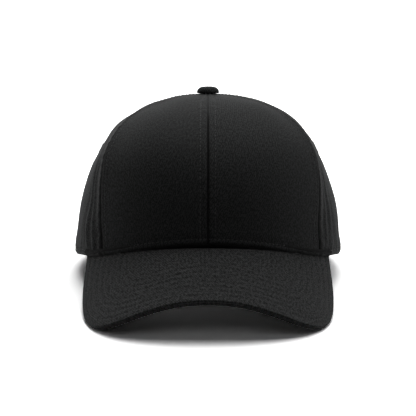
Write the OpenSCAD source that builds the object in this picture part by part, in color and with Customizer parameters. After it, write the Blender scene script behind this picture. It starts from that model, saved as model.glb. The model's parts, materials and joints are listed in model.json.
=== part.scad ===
// Six-panel structured baseball cap, resting on a flat surface.
// Left and right are the wearer's: the front faces -Y, the wearer's left is +X.
// The shapes are worked out in the crown's own frame: its origin is the centre of
// the head opening, z = 0 is the plane of the opening and psi is the angle round
// the crown from the centre of the front. rest() then leans the whole cap back
// until the two corners of the visor and the back of the rim stand on z = 0.

/* [Crown] */
// Half of the crown's width at the rim
crown_half_w = 90.5; // [76:0.5:110]
// Reach of the crown forward of the centre of the opening
front_reach = 101.5; // [84:0.5:122]
// Reach of the crown behind the centre of the opening
back_reach = 98; // [84:0.5:118]
// Height of the crown above the plane of the opening
crown_h = 107.5; // [88:0.5:132]
// How far the top of the crown stands behind the centre of the opening
top_set_back = 1.6; // [0:0.1:6]
// Roundness of the rim in plan, 2 is an ellipse
plan_power = 2.04; // [2:0.01:2.6]
// Roundness of the top in plan, 2 is an ellipse
plan_power_top = 2.42; // [2:0.01:2.8]
// Share of its half width that a side loses from rim to top
side_taper = 0.236; // [0.1:0.002:0.3]
// Fullness of the side profile, higher is squarer
side_power = 5.8; // [3:0.1:7]
// Share of its reach that the front loses from rim to top
front_taper = 0.05; // [0:0.001:0.2]
// Fullness of the front profile
front_power = 4.1; // [2.5:0.1:6]
// Share of its reach that the back loses from rim to top
back_taper = 0.14; // [0:0.001:0.25]
// Fullness of the back profile
back_power = 2.78; // [2:0.01:4]
// How far the side panels puff out above the rim
side_puff = 2.7; // [0:0.1:4]

/* [Panels and seams] */
// Thickness of the twill panels
panel_t = 0.9; // [0.6:0.1:1.4]
// Angle of the front seam at the rim
front_seam_rim = 47; // [40:0.5:52]
// Angle of the front seam at the top
front_seam_top = 72.5; // [62:0.5:80]
// Angle of the rear seam at the rim
rear_seam_rim = 118; // [112:0.5:122]
// Angle of the rear seam at the top
rear_seam_top = 122; // [116:0.5:126]
// Gap between two sewn panel edges
seam_gap = 0.3; // [0.2:0.05:0.5]
// How deep the edges of a panel roll in at a seam
seam_dip = 0.6; // [0:0.1:0.8]
// Width of the rolled edge of a panel
seam_roll = 1.6; // [1:0.1:2.5]
// Clearance between two layers of cloth
layer_gap = 0.35; // [0.3:0.05:0.5]
// Thickness of the buckram that stiffens the front panels
buckram_t = 0.6; // [0.4:0.1:1]
// Height of the buckram above the plane of the opening
buckram_h = 92; // [70:1:100]
// Thickness of the seam tape
tape_t = 0.5; // [0.4:0.1:0.8]
// Width of the seam tape
tape_w = 18; // [14:0.5:22]

/* [Sweatband] */
// Thickness of the sweatband
band_t = 1; // [0.8:0.1:1.6]
// Height of the sweatband
band_h = 32; // [26:0.5:40]
// Height of its sewn foot, which lies against the panels
band_foot_h = 1.3; // [1:0.1:1.6]

/* [Visor] */
// Reach of the visor forward of the crown, along its slope
visor_reach = 67; // [56:0.5:84]
// Radius that the visor is bent to
visor_bend_r = 110.6; // [98:0.2:134]
// Downward slope of the visor's centre line
visor_slope = 24.6; // [15:0.1:28]
// Height of the visor's root above the plane of the opening, at the centre
visor_arch = 15.9; // [13:0.1:20]
// Angle round the rim at which the visor ends
visor_end_angle = 59.3; // [53:0.1:64]
// How far each end of the visor stands out of the rim
visor_end_out = 1.6; // [1:0.1:3]
// Squareness of the visor's outline, higher is squarer
visor_power = 4.6; // [2.5:0.05:6]
// Thickness of the visor board
board_t = 1.9; // [1.4:0.1:2.6]
// Thickness of the cloth on the visor
cover_t = 0.5; // [0.4:0.1:0.8]
// Clearance between the rim of the crown and the visor
rim_gap = 0.5; // [0.5:0.05:0.8]
// Angle over which the rim rises again behind the visor
rim_rise = 26; // [15:1:35]

/* [Button] */
// Diameter of the covered button
button_d = 14.4; // [12:0.2:18]
// Height of the covered button
button_h = 4.9; // [4:0.1:7]
// Diameter of the button's stem
stem_d = 3.2; // [2.6:0.1:4]
// Diameter of the washer inside the crown
washer_d = 15; // [12:0.5:18]
// Thickness of the washer
washer_t = 0.6; // [0.4:0.1:1]

/* [Eyelets] */
// Diameter of the hole through an eyelet
eyelet_hole_d = 4.4; // [3.6:0.1:5.4]
// Width of an eyelet's ring
eyelet_ring_w = 2.4; // [2:0.1:3]
// Height of the eyelets above the plane of the opening
eyelet_height = 71; // [60:1:80]
// Thickness of an eyelet's flanges
eyelet_flange_t = 0.6; // [0.5:0.1:1]

/* [Rear opening] */
// Half of the width of the arch at the rim
arch_half_w = 45; // [38:0.5:54]
// Height of the arch
arch_h = 52; // [44:0.5:60]
// Thickness of the binding tape round the arch
binding_t = 0.5; // [0.4:0.1:0.8]
// How far the binding laps over the panels
binding_w = 5.5; // [4:0.5:8]

/* [Strap] */
// Width of the strap
strap_w = 20; // [16:0.5:22]
// Thickness of the strap
strap_t = 1.2; // [0.8:0.1:1.6]
// Height of the strap's lower edge above the plane of the opening
strap_lift = 4; // [3.6:0.1:6]
// Travel of the strap through the buckle, either way
strap_travel = 14; // [8:1:17]
// How far the sewn end stays behind the arch's edge at the end of the travel
strap_tuck = 5; // [3:1:8]
// Length of the free end past the buckle at the end of the travel
strap_spare = 17; // [12:1:22]

/* [Buckle] */
// Distance of the buckle from the centre of the back
buckle_offset = 19; // [15:1:22]
// Length of the buckle's base plate
buckle_len = 20; // [16:0.5:22]
// Thickness of the buckle's sheet metal
plate_t = 0.8; // [0.6:0.1:1.2]
// Clearance between the strap and the buckle
strap_gap = 0.45; // [0.3:0.05:0.6]
// Diameter of the hinge pin
pin_d = 1.6; // [1.2:0.1:2]
// Running clearance of the lever on its pin, on the radius
pin_gap = 0.05; // [0.03:0.01:0.1]
// Wall of the lever's rolled knuckle
knuckle_t = 0.7; // [0.5:0.1:1]
// Diameter of the bar that holds the tab
bar_d = 1.8; // [1.4:0.1:2.4]
// Thickness of one layer of the tab
tab_t = 0.7; // [0.5:0.1:1]
// How much narrower the tab is than the strap, on each side
tab_inset = 1; // [0.5:0.25:3]

/* [Hidden] */

$fn = 48;
twill = "#26272a";
tape_black = "#1b1c1f";
charcoal = "#2c2d2f";
board_grey = "#4a4c50";
steel = "#8f9296";
brass = "#a8935c";

// Allowance for flat facets, where two neighbouring layers have different grids
facet_sag = 0.25;
// How fast the curve of the rim fades up the crown
rim_fade = 1.5;
// Share of the height over which the side panels puff out
puff_top = 0.64;
// Angles round the crown at which the sweatband starts to deepen, and over which it does
band_deepens_at = 85;
band_deepens_over = 35;

// Depths of the layers below the outer face of the panels
buckram_depth = panel_t + layer_gap;
tape_depth = buckram_depth + buckram_t + layer_gap + facet_sag;
band_front_depth = tape_depth + tape_t + layer_gap + facet_sag;
foot_depth = panel_t + layer_gap + facet_sag;
binding_depth = panel_t + layer_gap + facet_sag;
binding_out = layer_gap + binding_t;
strap_depth = binding_depth + binding_t + strap_gap;
tab_depth = strap_depth + strap_t + layer_gap;
band_rear_depth = tab_depth + 2*tab_t + strap_gap + facet_sag;

// Counts of the grids
panel_rows = 16;
above_arch_rows = 11;
panel_cols = 8;
side_cols = 10;
cols_over_visor = 2;
arch_rows = 12;
tape_rows = 22;
band_cols = 56;
visor_cols = 34;
visor_rows = 5;
arc_steps = 2*arch_rows;

// Share of the way up, in rows that crowd towards the top, where the panels end
row_top = 0.977;
// Heights, as shares of the crown's, over which a rolled edge fades at its end
roll_fade = 0.06;

// ---------------------------------------------------------------- small helpers

function mix(a, b, t) = a + (b - a)*t;
function smooth(t) = let(c = min(1, max(0, t))) c*c*(3 - 2*c);
function to_deg(arc, r) = arc/r*180/PI;
function unit(v) = v/norm(v);

// ---------------------------------------------------------------- crown surface

// Reach of one profile of the crown at height share h
function dome(reach, taper, power, h) = reach*(1 - taper*h)*sqrt(max(0, 1 - pow(h, power)));

// Distance from the axis to a superellipse in plan
function plan_r(psi, x_reach, y_reach, power) =
    pow(pow(abs(sin(psi))/x_reach, power) + pow(abs(cos(psi))/y_reach, power), -1/power);

function front_seam(h) = mix(front_seam_rim, front_seam_top, h);
function rear_seam(h) = mix(rear_seam_rim, rear_seam_top, h);

// The side panels stand out a little above the rim, most in the middle
function puff(psi, h) =
    let(from = front_seam(h),
        u = min(1, max(0, (abs(psi) - from)/(rear_seam_rim - from))),
        rise = h < puff_top ? sin(180*h/puff_top) : 0)
    side_puff*4*u*(1 - u)*rise;

// Plan position of the rim of a layer at some depth
function rim_xy(psi, depth) =
    let(r = plan_r(psi, crown_half_w - depth,
                   (cos(psi) > 0 ? front_reach : back_reach) - depth, plan_power))
    [r*sin(psi), -r*cos(psi)];

// Height of the rim: it follows the visor in front and is level behind it
function rim_z(psi, depth) =
    let(a = min(abs(psi), 360 - abs(psi)),
        p = rim_xy(min(a, visor_end_angle), depth),
        on_visor = visor_top_z(p) + rim_gap)
    a <= visor_end_angle ? on_visor : on_visor*(1 - smooth((a - visor_end_angle)/rim_rise));

// Radius of the crown at angle psi and height share h, for a layer at some depth
function crown_r(psi, h, depth) =
    plan_r(psi, dome(crown_half_w - depth, side_taper, side_power, h),
           cos(psi) > 0 ? dome(front_reach - depth, front_taper, front_power, h)
                        : dome(back_reach - depth, back_taper, back_power, h),
           mix(plan_power, plan_power_top, h)) + puff(psi, h);

// A point of the crown: angle, height share and depth below the outer face
function crown_pt(psi, h, depth) =
    let(r = crown_r(psi, h, depth))
    [r*sin(psi), -r*cos(psi) + top_set_back*h*h,
     rim_z(psi, depth)*pow(1 - h, rim_fade) + (crown_h - depth)*h];

// Outward normal of the crown's outer face
function crown_normal(psi, h) =
    let(across = crown_pt(psi + 0.5, h, 0) - crown_pt(psi - 0.5, h, 0),
        up = crown_pt(psi, h + 0.005, 0) - crown_pt(psi, h - 0.005, 0))
    unit(cross(across, up));

// Height share of row t: rows crowd towards the top
function row_h(t) = 1 - pow(1 - t, 2);
function row_t(h) = 1 - sqrt(1 - h);

// ---------------------------------------------------------------- visor surface

// Height of the visor's top face over a plan position
function visor_top_z(p) =
    let(drop = visor_bend_r - sqrt(max(0, visor_bend_r*visor_bend_r - p.x*p.x)),
        w = visor_forward(p, drop))
    visor_arch - w*sin(visor_slope) - drop*cos(visor_slope);

// Distance forward of the crown, along the slope, of a plan position
function visor_forward(p, drop) =
    (-front_reach - p.y + drop*sin(visor_slope))/cos(visor_slope);

// The visor's flat pattern position under a plan position of the rim
function to_pattern(p) =
    let(a = asin(p.x/visor_bend_r))
    [a*PI/180*visor_bend_r, visor_forward(p, visor_bend_r*(1 - cos(a)))];

// Bends a flat pattern position to the visor, at some depth below its top face
function bend(q, depth) =
    let(a = to_deg(q[0], visor_bend_r),
        r = visor_bend_r - depth,
        drop = visor_bend_r - r*cos(a))
    [r*sin(a),
     -front_reach - q[1]*cos(visor_slope) + drop*sin(visor_slope),
     visor_arch - q[1]*sin(visor_slope) - drop*cos(visor_slope)];

// Clearance between the board and its cloth, and half of the slit between the two cloths
cover_gap = 0.25;
slit = 0.1;
// How far the cloth laps past the outline, and the share of it that its edge is rounded by
cover_lap = cover_t + slit;
lip_round = 0.3;
// How much the inner face of the cloth is inset
cover_inset = 0.05;
// How far the board stays inside its cloth, and how much its edge is broken
board_inset = 0.5;
board_edge = 0.3;
visor_t = board_t + 2*cover_t + 2*cover_gap;
visor_end = to_pattern(rim_xy(visor_end_angle, 0));
visor_half_w = visor_end[0] + visor_end_out;
visor_depth = visor_reach - visor_end[1];

// Outline of the flat pattern at polar angle a, moved outwards by out
function visor_outline(a, out) =
    let(reach = visor_depth - cover_lap,
        half = visor_half_w - cover_lap,
        r = pow(pow(abs(cos(a))/half, visor_power) + pow(abs(sin(a))/reach, visor_power),
                -1/visor_power) + out)
    [r*cos(a), visor_end[1] + r*sin(a)];

// A point of the visor: a runs from one end to the other, v from root to edge
function visor_pt(a, v, out, depth) =
    let(root = to_pattern(rim_xy(visor_end_angle*(1 - a/90), panel_t)),
        edge = visor_outline(a, out))
    bend(mix(root, edge, v), depth);

// One face of a visor layer: flat rows to the edge, then the rows of its lip
function visor_grid(depth, out, lip) =
    [for (i = [0:visor_rows + len(lip)])
        [for (j = [0:visor_cols])
            let(a = 180*j/visor_cols)
            i <= visor_rows ? visor_pt(a, i/visor_rows, out, depth)
                            : visor_pt(a, 1, lip[i - visor_rows - 1][0], lip[i - visor_rows - 1][1])]];

// ---------------------------------------------------------------- sheet solids

// A closed sheet between two grids of points, the first one on the outside
module sheet(outer, inner) {
    rows = len(outer) - 1;
    cols = len(outer[0]) - 1;
    count = (rows + 1)*(cols + 1);
    function id(i, j) = i*(cols + 1) + j;
    function quad(a, b, c, d) = [[a, b, c], [a, c, d]];
    faces = [
        for (i = [0:rows - 1], j = [0:cols - 1])
            each quad(id(i, j), id(i + 1, j), id(i + 1, j + 1), id(i, j + 1)),
        for (i = [0:rows - 1], j = [0:cols - 1])
            each quad(count + id(i, j), count + id(i, j + 1),
                      count + id(i + 1, j + 1), count + id(i + 1, j)),
        for (j = [0:cols - 1])
            each quad(id(0, j), id(0, j + 1), count + id(0, j + 1), count + id(0, j)),
        for (j = [0:cols - 1])
            each quad(id(rows, j + 1), id(rows, j), count + id(rows, j), count + id(rows, j + 1)),
        for (i = [0:rows - 1])
            each quad(id(i + 1, 0), id(i, 0), count + id(i, 0), count + id(i + 1, 0)),
        for (i = [0:rows - 1])
            each quad(id(i, cols), id(i + 1, cols), count + id(i + 1, cols), count + id(i, cols))
    ];
    polyhedron(concat([for (row = outer) each row], [for (row = inner) each row]), faces, 4);
}

// A closed channel through a list of sections, each a U of eight points: the outer
// leg from its tip, the floor of the U and the inner leg, then back round the outside
module channel(sections) {
    rows = len(sections) - 1;
    n = 8;
    function id(i, j) = i*n + j % n;
    quads = [[0, 1, 2, 7], [2, 3, 6, 7], [3, 4, 5, 6]];
    polyhedron([for (s = sections) each s], concat(
        [for (q = quads) each [[q[0], q[1], q[2]], [q[0], q[2], q[3]]]],
        [for (q = quads)
            each [[id(rows, q[2]), id(rows, q[1]), id(rows, q[0])],
                  [id(rows, q[3]), id(rows, q[2]), id(rows, q[0])]]],
        [for (i = [0:rows - 1], j = [0:n - 1]) [id(i, j), id(i + 1, j), id(i + 1, j + 1)]],
        [for (i = [0:rows - 1], j = [0:n - 1]) [id(i, j), id(i + 1, j + 1), id(i, j + 1)]]), 4);
}

module mirrored() {
    mirror([1, 0, 0])
        children();
}

// ---------------------------------------------------------------- panels

arch_top = arch_h/crown_h;

// Angle, from the centre of the front, of an arc length measured from the centre back
function back_angle(arc, h) = 180 - to_deg(arc, crown_r(180, h, 0));

// The two edges of a panel at height share h, before the seam gap
function panel_edge(panel, h) =
    panel == "front" ? [0, front_seam(h)] :
    panel == "side" ? [front_seam(h), rear_seam(h)] :
    h < arch_top ? [rear_seam(h), back_angle(arch_half_w*sqrt(1 - pow(h/arch_top, 2)), h)] :
    [rear_seam(h), 180];

// How far the panels' rolled edge stays above the binding
binding_clear = 1;

// The arch's edge is bound, not sewn to a neighbour, so it needs no gap there
function edge_gap(panel, side, h) = panel == "back" && side == 1 && h < arch_top ? 0 : seam_gap/2;

// A rolled edge fades out at the rim, and above the binding at the centre back
function edge_dip(panel, side, h) =
    let(from = panel == "back" && side == 1 ? arch_top + (binding_w + binding_clear)/crown_h : 0)
    seam_dip*smooth((h - from)/roll_fade);

// Shares of the way across a panel at which its columns stand. The side panel has one
// where the visor ends, because the rim turns down to the floor there.
function col_shares(panel) =
    let(end = (visor_end_angle - front_seam_rim)/(rear_seam_rim - front_seam_rim),
        rest_cols = side_cols - cols_over_visor)
    panel == "side"
    ? [for (j = [0:cols_over_visor]) end*j/cols_over_visor,
       for (j = [1:rest_cols]) mix(end, 1, j/rest_cols)]
    : [for (j = [0:panel_cols]) j/panel_cols];

function panel_row(panel, h, depth) =
    let(edge = panel_edge(panel, h),
        r = crown_r((edge[0] + edge[1])/2, h, 0),
        a = edge[0] + to_deg(edge_gap(panel, 0, h), r),
        b = edge[1] - to_deg(edge_gap(panel, 1, h), r),
        roll = min(to_deg(seam_roll, r), (b - a)/5))
    [crown_pt(a, h, depth + edge_dip(panel, 0, h)),
     for (share = col_shares(panel)) crown_pt(mix(a + roll, b - roll, share), h, depth),
     crown_pt(b, h, depth + edge_dip(panel, 1, h))];

function panel_heights(panel) =
    panel == "back"
    ? [for (i = [0:arch_rows - 1]) arch_top*sin(90*i/arch_rows),
       for (i = [0:above_arch_rows])
           row_h(mix(row_t(arch_top), row_top, i/above_arch_rows))]
    : [for (i = [0:panel_rows]) row_h(row_top*i/panel_rows)];

module panel(panel) {
    heights = panel_heights(panel);
    sheet([for (h = heights) panel_row(panel, h, 0)],
          [for (h = heights) panel_row(panel, h, panel_t)]);
}

module front_panel() {
    color(twill)
        rest()
            panel("front");
}

module side_panel() {
    color(twill)
        rest()
            difference() {
                panel("side");
                at_eyelet("side")
                    eyelet_hole();
            }
}

module back_panel() {
    color(twill)
        rest()
            difference() {
                panel("back");
                at_eyelet("back")
                    eyelet_hole();
            }
}

// ---------------------------------------------------------------- buckram and tapes

// The buckram follows the panel's own grid, so the two stay an even gap apart. It
// stops at the rolled edges and stands clear of the sweatband's foot.
foot_clear = (band_foot_h + 2*layer_gap)/crown_h;

module buckram() {
    top = buckram_h/crown_h;
    between = [for (h = panel_heights("front")) if (h > 2*foot_clear && h < top - foot_clear/2) h];
    heights = [foot_clear, each between, top];
    function row(h, depth) =
        let(across = panel_row("front", h, depth))
        [for (j = [1:panel_cols + 1]) across[j]];
    color(charcoal)
        rest()
            sheet([for (h = heights) row(h, buckram_depth)],
                  [for (h = heights) row(h, buckram_depth + buckram_t)]);
}

// The short tapes narrow where they draw together, and end beside the centre tape
tape_half_angle = 21;
tape_clear = 2;
tape_end_r = (tape_w/2 + tape_clear)/sin(180 - rear_seam_top - tape_half_angle);

function tape_top_h(psi) =
    top_h([tape_end_r*sin(psi), top_set_back - tape_end_r*cos(psi)], tape_depth);

function tape_row(psi, h, depth) =
    let(half = min(tape_half_angle, to_deg(tape_w/2, crown_r(psi, h, 0))))
    [for (j = [-1:1]) crown_pt(psi + j*half, h, depth)];

module seam_tape(seam) {
    top = tape_top_h(seam == "front" ? front_seam_top : rear_seam_top);
    heights = [for (i = [0:tape_rows]) row_h(mix(row_t(foot_clear), row_t(top), i/tape_rows))];
    function psi(h) = seam == "front" ? front_seam(h) : rear_seam(h);
    color(tape_black)
        rest()
            sheet([for (h = heights) tape_row(psi(h), h, tape_depth)],
                  [for (h = heights) tape_row(psi(h), h, tape_depth + tape_t)]);
}

// Height share of the surface over plan position q, found by halving
function top_h(q, depth, low = 0.5, high = 1, steps = 24) =
    let(h = (low + high)/2,
        p = [q[0], q[1] - top_set_back*h*h])
    steps == 0 ? h :
    crown_r(atan2(p[0], -p[1]), h, depth) > norm(p) ? top_h(q, depth, h, high, steps - 1)
                                                   : top_h(q, depth, low, h, steps - 1);

// How far the crown has dropped, from its top, at a distance behind the middle
function top_drop(r) = crown_h*(1 - pow(1 - pow(r/(back_reach*(1 - back_taper)), 2), 1/back_power));

// A point of the centre tape: s runs from the front rim over the top to the arch.
// Rows are level on the walls of the crown, and lie across it near the top.
function center_tape_pt(x, s, depth) =
    let(front = s < 0,
        h0 = front ? foot_clear : arch_top + (binding_w + 2*binding_clear)/crown_h,
        h = min(0.99999, row_h(mix(1, row_t(h0), abs(s)))),
        middle = front ? 0 : 180,
        r = crown_r(middle, h, depth),
        turn = asin(min(1, abs(x)/r))*sign(x),
        q = [x, (front ? -r : r) + top_set_back*h*h],
        over = top_h(q, depth),
        below = [q[0], q[1] - top_set_back*over*over])
    h < 0.9 ? crown_pt(front ? turn : 180 - turn, h, depth)
            : crown_pt(atan2(below[0], -below[1]), over, depth);

module center_seam_tape() {
    steps = [for (i = [-tape_rows:tape_rows]) i/tape_rows];
    xs = [-1, 0, 1]*tape_w/2;
    color(tape_black)
        rest()
            difference() {
                sheet([for (x = xs) [for (s = steps) center_tape_pt(x, s, tape_depth)]],
                      [for (x = xs) [for (s = steps) center_tape_pt(x, s, tape_depth + tape_t)]]);
                at_top()
                    cylinder(h = 4*tape_depth, d = stem_d + 2*layer_gap, center = true);
            }
}

// ---------------------------------------------------------------- sweatband

// The band hangs deeper at the back, where the strap and the tab pass behind it
function band_depth(psi) =
    mix(band_front_depth, band_rear_depth, smooth((abs(psi) - band_deepens_at)/band_deepens_over));

module sweatband() {
    foot = band_foot_h/crown_h;
    step = foot + slit*2/crown_h;
    middle = band_h/2/crown_h;
    top = band_h/crown_h;
    // Height share, and whether the outer face is still the foot's
    levels = [[0, true], [foot, true], [step, false], [middle, false], [top, false]];
    end_psi = back_angle(arch_half_w + binding_w + 2*layer_gap, 0);
    function row(level, inner) =
        [for (j = [0:band_cols])
            let(psi = mix(-end_psi, end_psi, j/band_cols),
                depth = band_depth(psi) + band_t)
            crown_pt(psi, level[0], inner ? depth : level[1] ? foot_depth : band_depth(psi))];
    color(tape_black)
        rest()
            sheet([for (level = levels) row(level, false)],
                  [for (level = levels) row(level, true)]);
}

// ---------------------------------------------------------------- visor

// The lips of the two cloths, which meet half way down the visor's edge. Each row of a
// lip is how far it stands out of the outline and its depth below the top face.
top_cover_end = visor_t/2 - slit;
under_cover_end = visor_t/2 + slit;
round_in = cover_lap*lip_round;
top_lip = [[cover_lap - round_in, round_in], [cover_lap, cover_lap], [cover_lap, top_cover_end]];
top_lining_lip = [[cover_inset, cover_t + cover_inset], [slit, cover_lap + slit], [slit, top_cover_end]];
under_lip = [[cover_lap - round_in, visor_t - round_in], [cover_lap, visor_t - cover_lap]];
under_lining_lip = [[cover_inset, visor_t - cover_t - cover_inset],
                    [slit, visor_t - cover_lap - slit], [slit, under_cover_end]];

module visor_top_cover() {
    color(twill)
        rest()
            sheet(visor_grid(0, 0, top_lip),
                  visor_grid(cover_t, -cover_inset, top_lining_lip));
}

module visor_under_cover() {
    color(twill)
        rest()
            sheet(visor_grid(visor_t - cover_t, -cover_inset, under_lining_lip),
                  visor_grid(visor_t, 0, concat(under_lip, [[cover_lap, under_cover_end]])));
}

module visor_board() {
    top = cover_t + cover_gap;
    bottom = top + board_t;
    side = board_edge - board_inset;
    color(board_grey)
        rest()
            sheet(visor_grid(top, -board_inset, [[side, top + board_edge]]),
                  visor_grid(bottom, -board_inset, [[side, bottom - board_edge]]));
}

// ---------------------------------------------------------------- button

module at_top() {
    translate([0, top_set_back, crown_h])
        children();
}

// Share of the button's height below its widest, and how round its shoulder is
belly_share = 0.38;
shoulder = 0.8;
// Widths of the cloth turned under the button, and how far the turn is rounded in
turn_in_w = 2.4;
turn_round = 0.8;
// Clearance between the button's shell and its cloth
shell_gap = 0.1;
// Rolled end of the stem: how far it spreads past the stem, its height and its slack
rivet_spread = 0.6;
rivet_h = 0.7;
rivet_slack = 0.2;
// Top of the washer below the top of the crown
washer_drop = tape_depth + tape_t + layer_gap + top_drop(washer_d/2);

// Half section of a button's dome, inset from the cloth's outer face
function dome_profile(inset) =
    let(r = button_d/2 - inset,
        belly = button_h*belly_share,
        up = button_h - belly - inset)
    [for (a = [0:10:90]) [r*pow(cos(a), shoulder), belly + up*sin(a)]];

module button_cover() {
    outer = dome_profile(0);
    inner = dome_profile(cover_t);
    lip_z = layer_gap;
    lip_r = button_d/2 - turn_in_w;
    turn_r = button_d/2 - turn_round;
    color(twill)
        rest()
            at_top()
                rotate_extrude()
                    polygon(concat(
                        [[lip_r, lip_z], [turn_r, lip_z]],
                        outer,
                        [for (i = [len(inner) - 1:-1:0]) inner[i]],
                        [[turn_r - cover_t, lip_z + cover_t], [lip_r, lip_z + cover_t]]));
}

module button_core() {
    floor_z = layer_gap + cover_t + shell_gap;
    stem_bottom = -(washer_drop + washer_t + rivet_slack + rivet_h);
    stem_r = stem_d/2;
    rivet_r = stem_r + rivet_spread;
    color(steel)
        rest()
            at_top()
                rotate_extrude()
                    polygon(concat(
                        [[0, stem_bottom], [rivet_r, stem_bottom], [rivet_r, stem_bottom + rivet_h],
                         [stem_r, stem_bottom + rivet_h], [stem_r, floor_z],
                         [button_d/2 - 2*turn_round, floor_z]],
                        dome_profile(cover_t + shell_gap)));
}

module button_washer() {
    color(steel)
        rest()
            at_top()
                translate([0, 0, -washer_drop - washer_t])
                    difference() {
                        cylinder(h = washer_t, d = washer_d);
                        translate([0, 0, -washer_t])
                            cylinder(h = 3*washer_t, d = stem_d + 2*shell_gap);
                    }
}

// ---------------------------------------------------------------- eyelets

module at_eyelet(panel) {
    h = eyelet_height/crown_h;
    edge = panel_edge(panel, h);
    psi = (edge[0] + edge[1])/2;
    n = crown_normal(psi, h);
    translate(crown_pt(psi, h, 0))
        rotate([0, acos(n.z), atan2(n.y, n.x)])
            children();
}

// Wall of the eyelet's tube, and the broken edge of its flanges
tube_wall = 0.7;
flange_edge = 0.25;

// Clearance hole for the eyelet's tube
module eyelet_hole() {
    cylinder(h = 6*panel_t, d = eyelet_hole_d + 2*(tube_wall + layer_gap), center = true);
}

// The ring is sewn or pressed round the hole: a tube with a flange on each face
module eyelet(panel) {
    hole = eyelet_hole_d/2;
    tube = hole + tube_wall;
    wide = hole + eyelet_ring_w;
    out = layer_gap;
    in = -(panel_t + 2*layer_gap);
    top = out + eyelet_flange_t;
    bottom = in - eyelet_flange_t;
    color(twill)
        rest()
            at_eyelet(panel)
                rotate_extrude()
                    polygon([
                        [hole, bottom + flange_edge], [hole + flange_edge, bottom],
                        [wide - flange_edge, bottom], [wide, bottom + flange_edge], [wide, in],
                        [tube, in], [tube, out],
                        [wide, out], [wide, top - flange_edge], [wide - flange_edge, top],
                        [hole + flange_edge, top], [hole, top - flange_edge]]);
}

// ---------------------------------------------------------------- rear arch

// A point round the arch: a runs from 0 at one foot over the top to 180
function arch_pt(a, beyond, depth) =
    let(h = max(0, (arch_h + beyond)*sin(a)/crown_h))
    crown_pt(back_angle((arch_half_w + beyond)*cos(a), h), h, depth);

module arch_binding() {
    near = -binding_out;
    // Section: how far beyond the arch's edge, and the depth below the panels' face
    section = [[binding_w, near], [binding_w, -layer_gap], [-layer_gap, -layer_gap],
               [-layer_gap, binding_depth], [binding_w, binding_depth],
               [binding_w, binding_depth + binding_t], [near, binding_depth + binding_t], [near, near]];
    color(tape_black)
        rest()
            channel([for (i = [0:arc_steps]) [for (p = section) arch_pt(180*i/arc_steps, p[0], p[1])]]);
}

// ---------------------------------------------------------------- strap

// Lengths from the centre of the back to the sewn end and to the free end
strap_root_len = arch_half_w + strap_travel + strap_tuck;
strap_tail_len = buckle_offset + buckle_len/2 + strap_travel + strap_spare;

// The strap lies on a cone that follows the back of the crown, so it can slide round it
strap_mid_h = (strap_lift + strap_w/2)/crown_h;
strap_back = crown_pt(180, strap_mid_h, strap_depth);
strap_side = crown_pt(140, strap_mid_h, strap_depth);
strap_r = (pow(strap_side.x, 2) + pow(strap_back.y - strap_side.y, 2))/2/(strap_back.y - strap_side.y);
strap_axis_y = strap_back.y - strap_r;
strap_low = crown_pt(155, strap_lift/crown_h, strap_depth);
strap_high = crown_pt(155, (strap_lift + strap_w)/crown_h, strap_depth);
strap_slope = atan2(norm([strap_low.x, strap_low.y - strap_axis_y])
                    - norm([strap_high.x, strap_high.y - strap_axis_y]), strap_w);

// A band round the strap's axis between two arc lengths, below the strap's outer face
module cone_band(from, to, depth, thickness, width) {
    start = 90 + to_deg(from, strap_r);
    sweep = to_deg(to - from, strap_r);
    mid_z = strap_mid_h*crown_h;
    translate([0, strap_axis_y, mid_z])
        rotate([0, 0, start])
            rotate_extrude(angle = sweep, $fn = 120)
                translate([strap_r, 0])
                    rotate([0, 0, strap_slope])
                        translate([-depth - thickness, -width/2])
                            square([thickness, width]);
}

module strap() {
    color(twill)
        rest()
            cone_band(-strap_root_len, strap_tail_len, 0, strap_t, strap_w);
}

// ---------------------------------------------------------------- buckle

// Buckle frame: x runs along the strap towards its tail, y out of the strap's
// middle and z up its width. Parts are bent about an axis one strap radius inside.
buckle_r = strap_r/cos(strap_slope) - strap_t/2;
base_top = -strap_t/2 - strap_gap;
base_bottom = base_top - plate_t;
lever_under = strap_t/2 + strap_gap;
knuckle_r = pin_d/2 + pin_gap + knuckle_t;
pin_x = -buckle_len/2 + knuckle_r;
pin_y = lever_under + knuckle_r;
loop_gap = 0.2;
bar_x = buckle_len/2 + tab_t + 2*(layer_gap + loop_gap) + bar_d/2;
bar_y = -strap_t/2 - layer_gap - tab_t - 2.5*loop_gap - bar_d/2;
inner_w = strap_w + 2*strap_gap;
tab_w = strap_w - 2*tab_inset;
frame_w = inner_w + 2*plate_t;
lever_w = inner_w - 2*layer_gap;

module at_buckle() {
    translate([0, strap_axis_y, strap_mid_h*crown_h])
        rotate([0, 0, to_deg(buckle_offset, strap_r)])
            translate([0, strap_r, 0])
                rotate([strap_slope, 0, 0])
                    translate([0, -strap_t/2, 0])
                        mirror([1, 0, 0])
                            children();
}

// Metal round the pin's hole and round the bar's end in the buckle's cheeks
ear_wall = 1.4;
bar_wall = 0.6;
// Room between the top of the cheeks and the lever
cheek_gap = 0.2;
// How far the cheeks slope down from the pin, and where they reach for the bar
ear_foot = 4;
bar_arm = 5;
// Overlap that joins two solids of one piece
join = 0.01;
// The pin is pressed into the cheeks; its heads stand a little off them
pin_fit = 0.02;
head_t = 0.3;
head_spread = 0.5;
head_gap = 0.05;
// The lever reaches past the buckle and ends in a rolled bead
lever_past = 1;
bead_spread = 0.15;

// The same placing for a point, which gives it in the crown's frame
function buckle_pt(p) =
    let(turn = to_deg(buckle_offset, strap_r),
        y = p.y - strap_t/2,
        out = strap_r + y*cos(strap_slope) - p.z*sin(strap_slope))
    [-p.x*cos(turn) - out*sin(turn),
     strap_axis_y - p.x*sin(turn) + out*cos(turn),
     strap_mid_h*crown_h + y*sin(strap_slope) + p.z*cos(strap_slope)];

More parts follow.
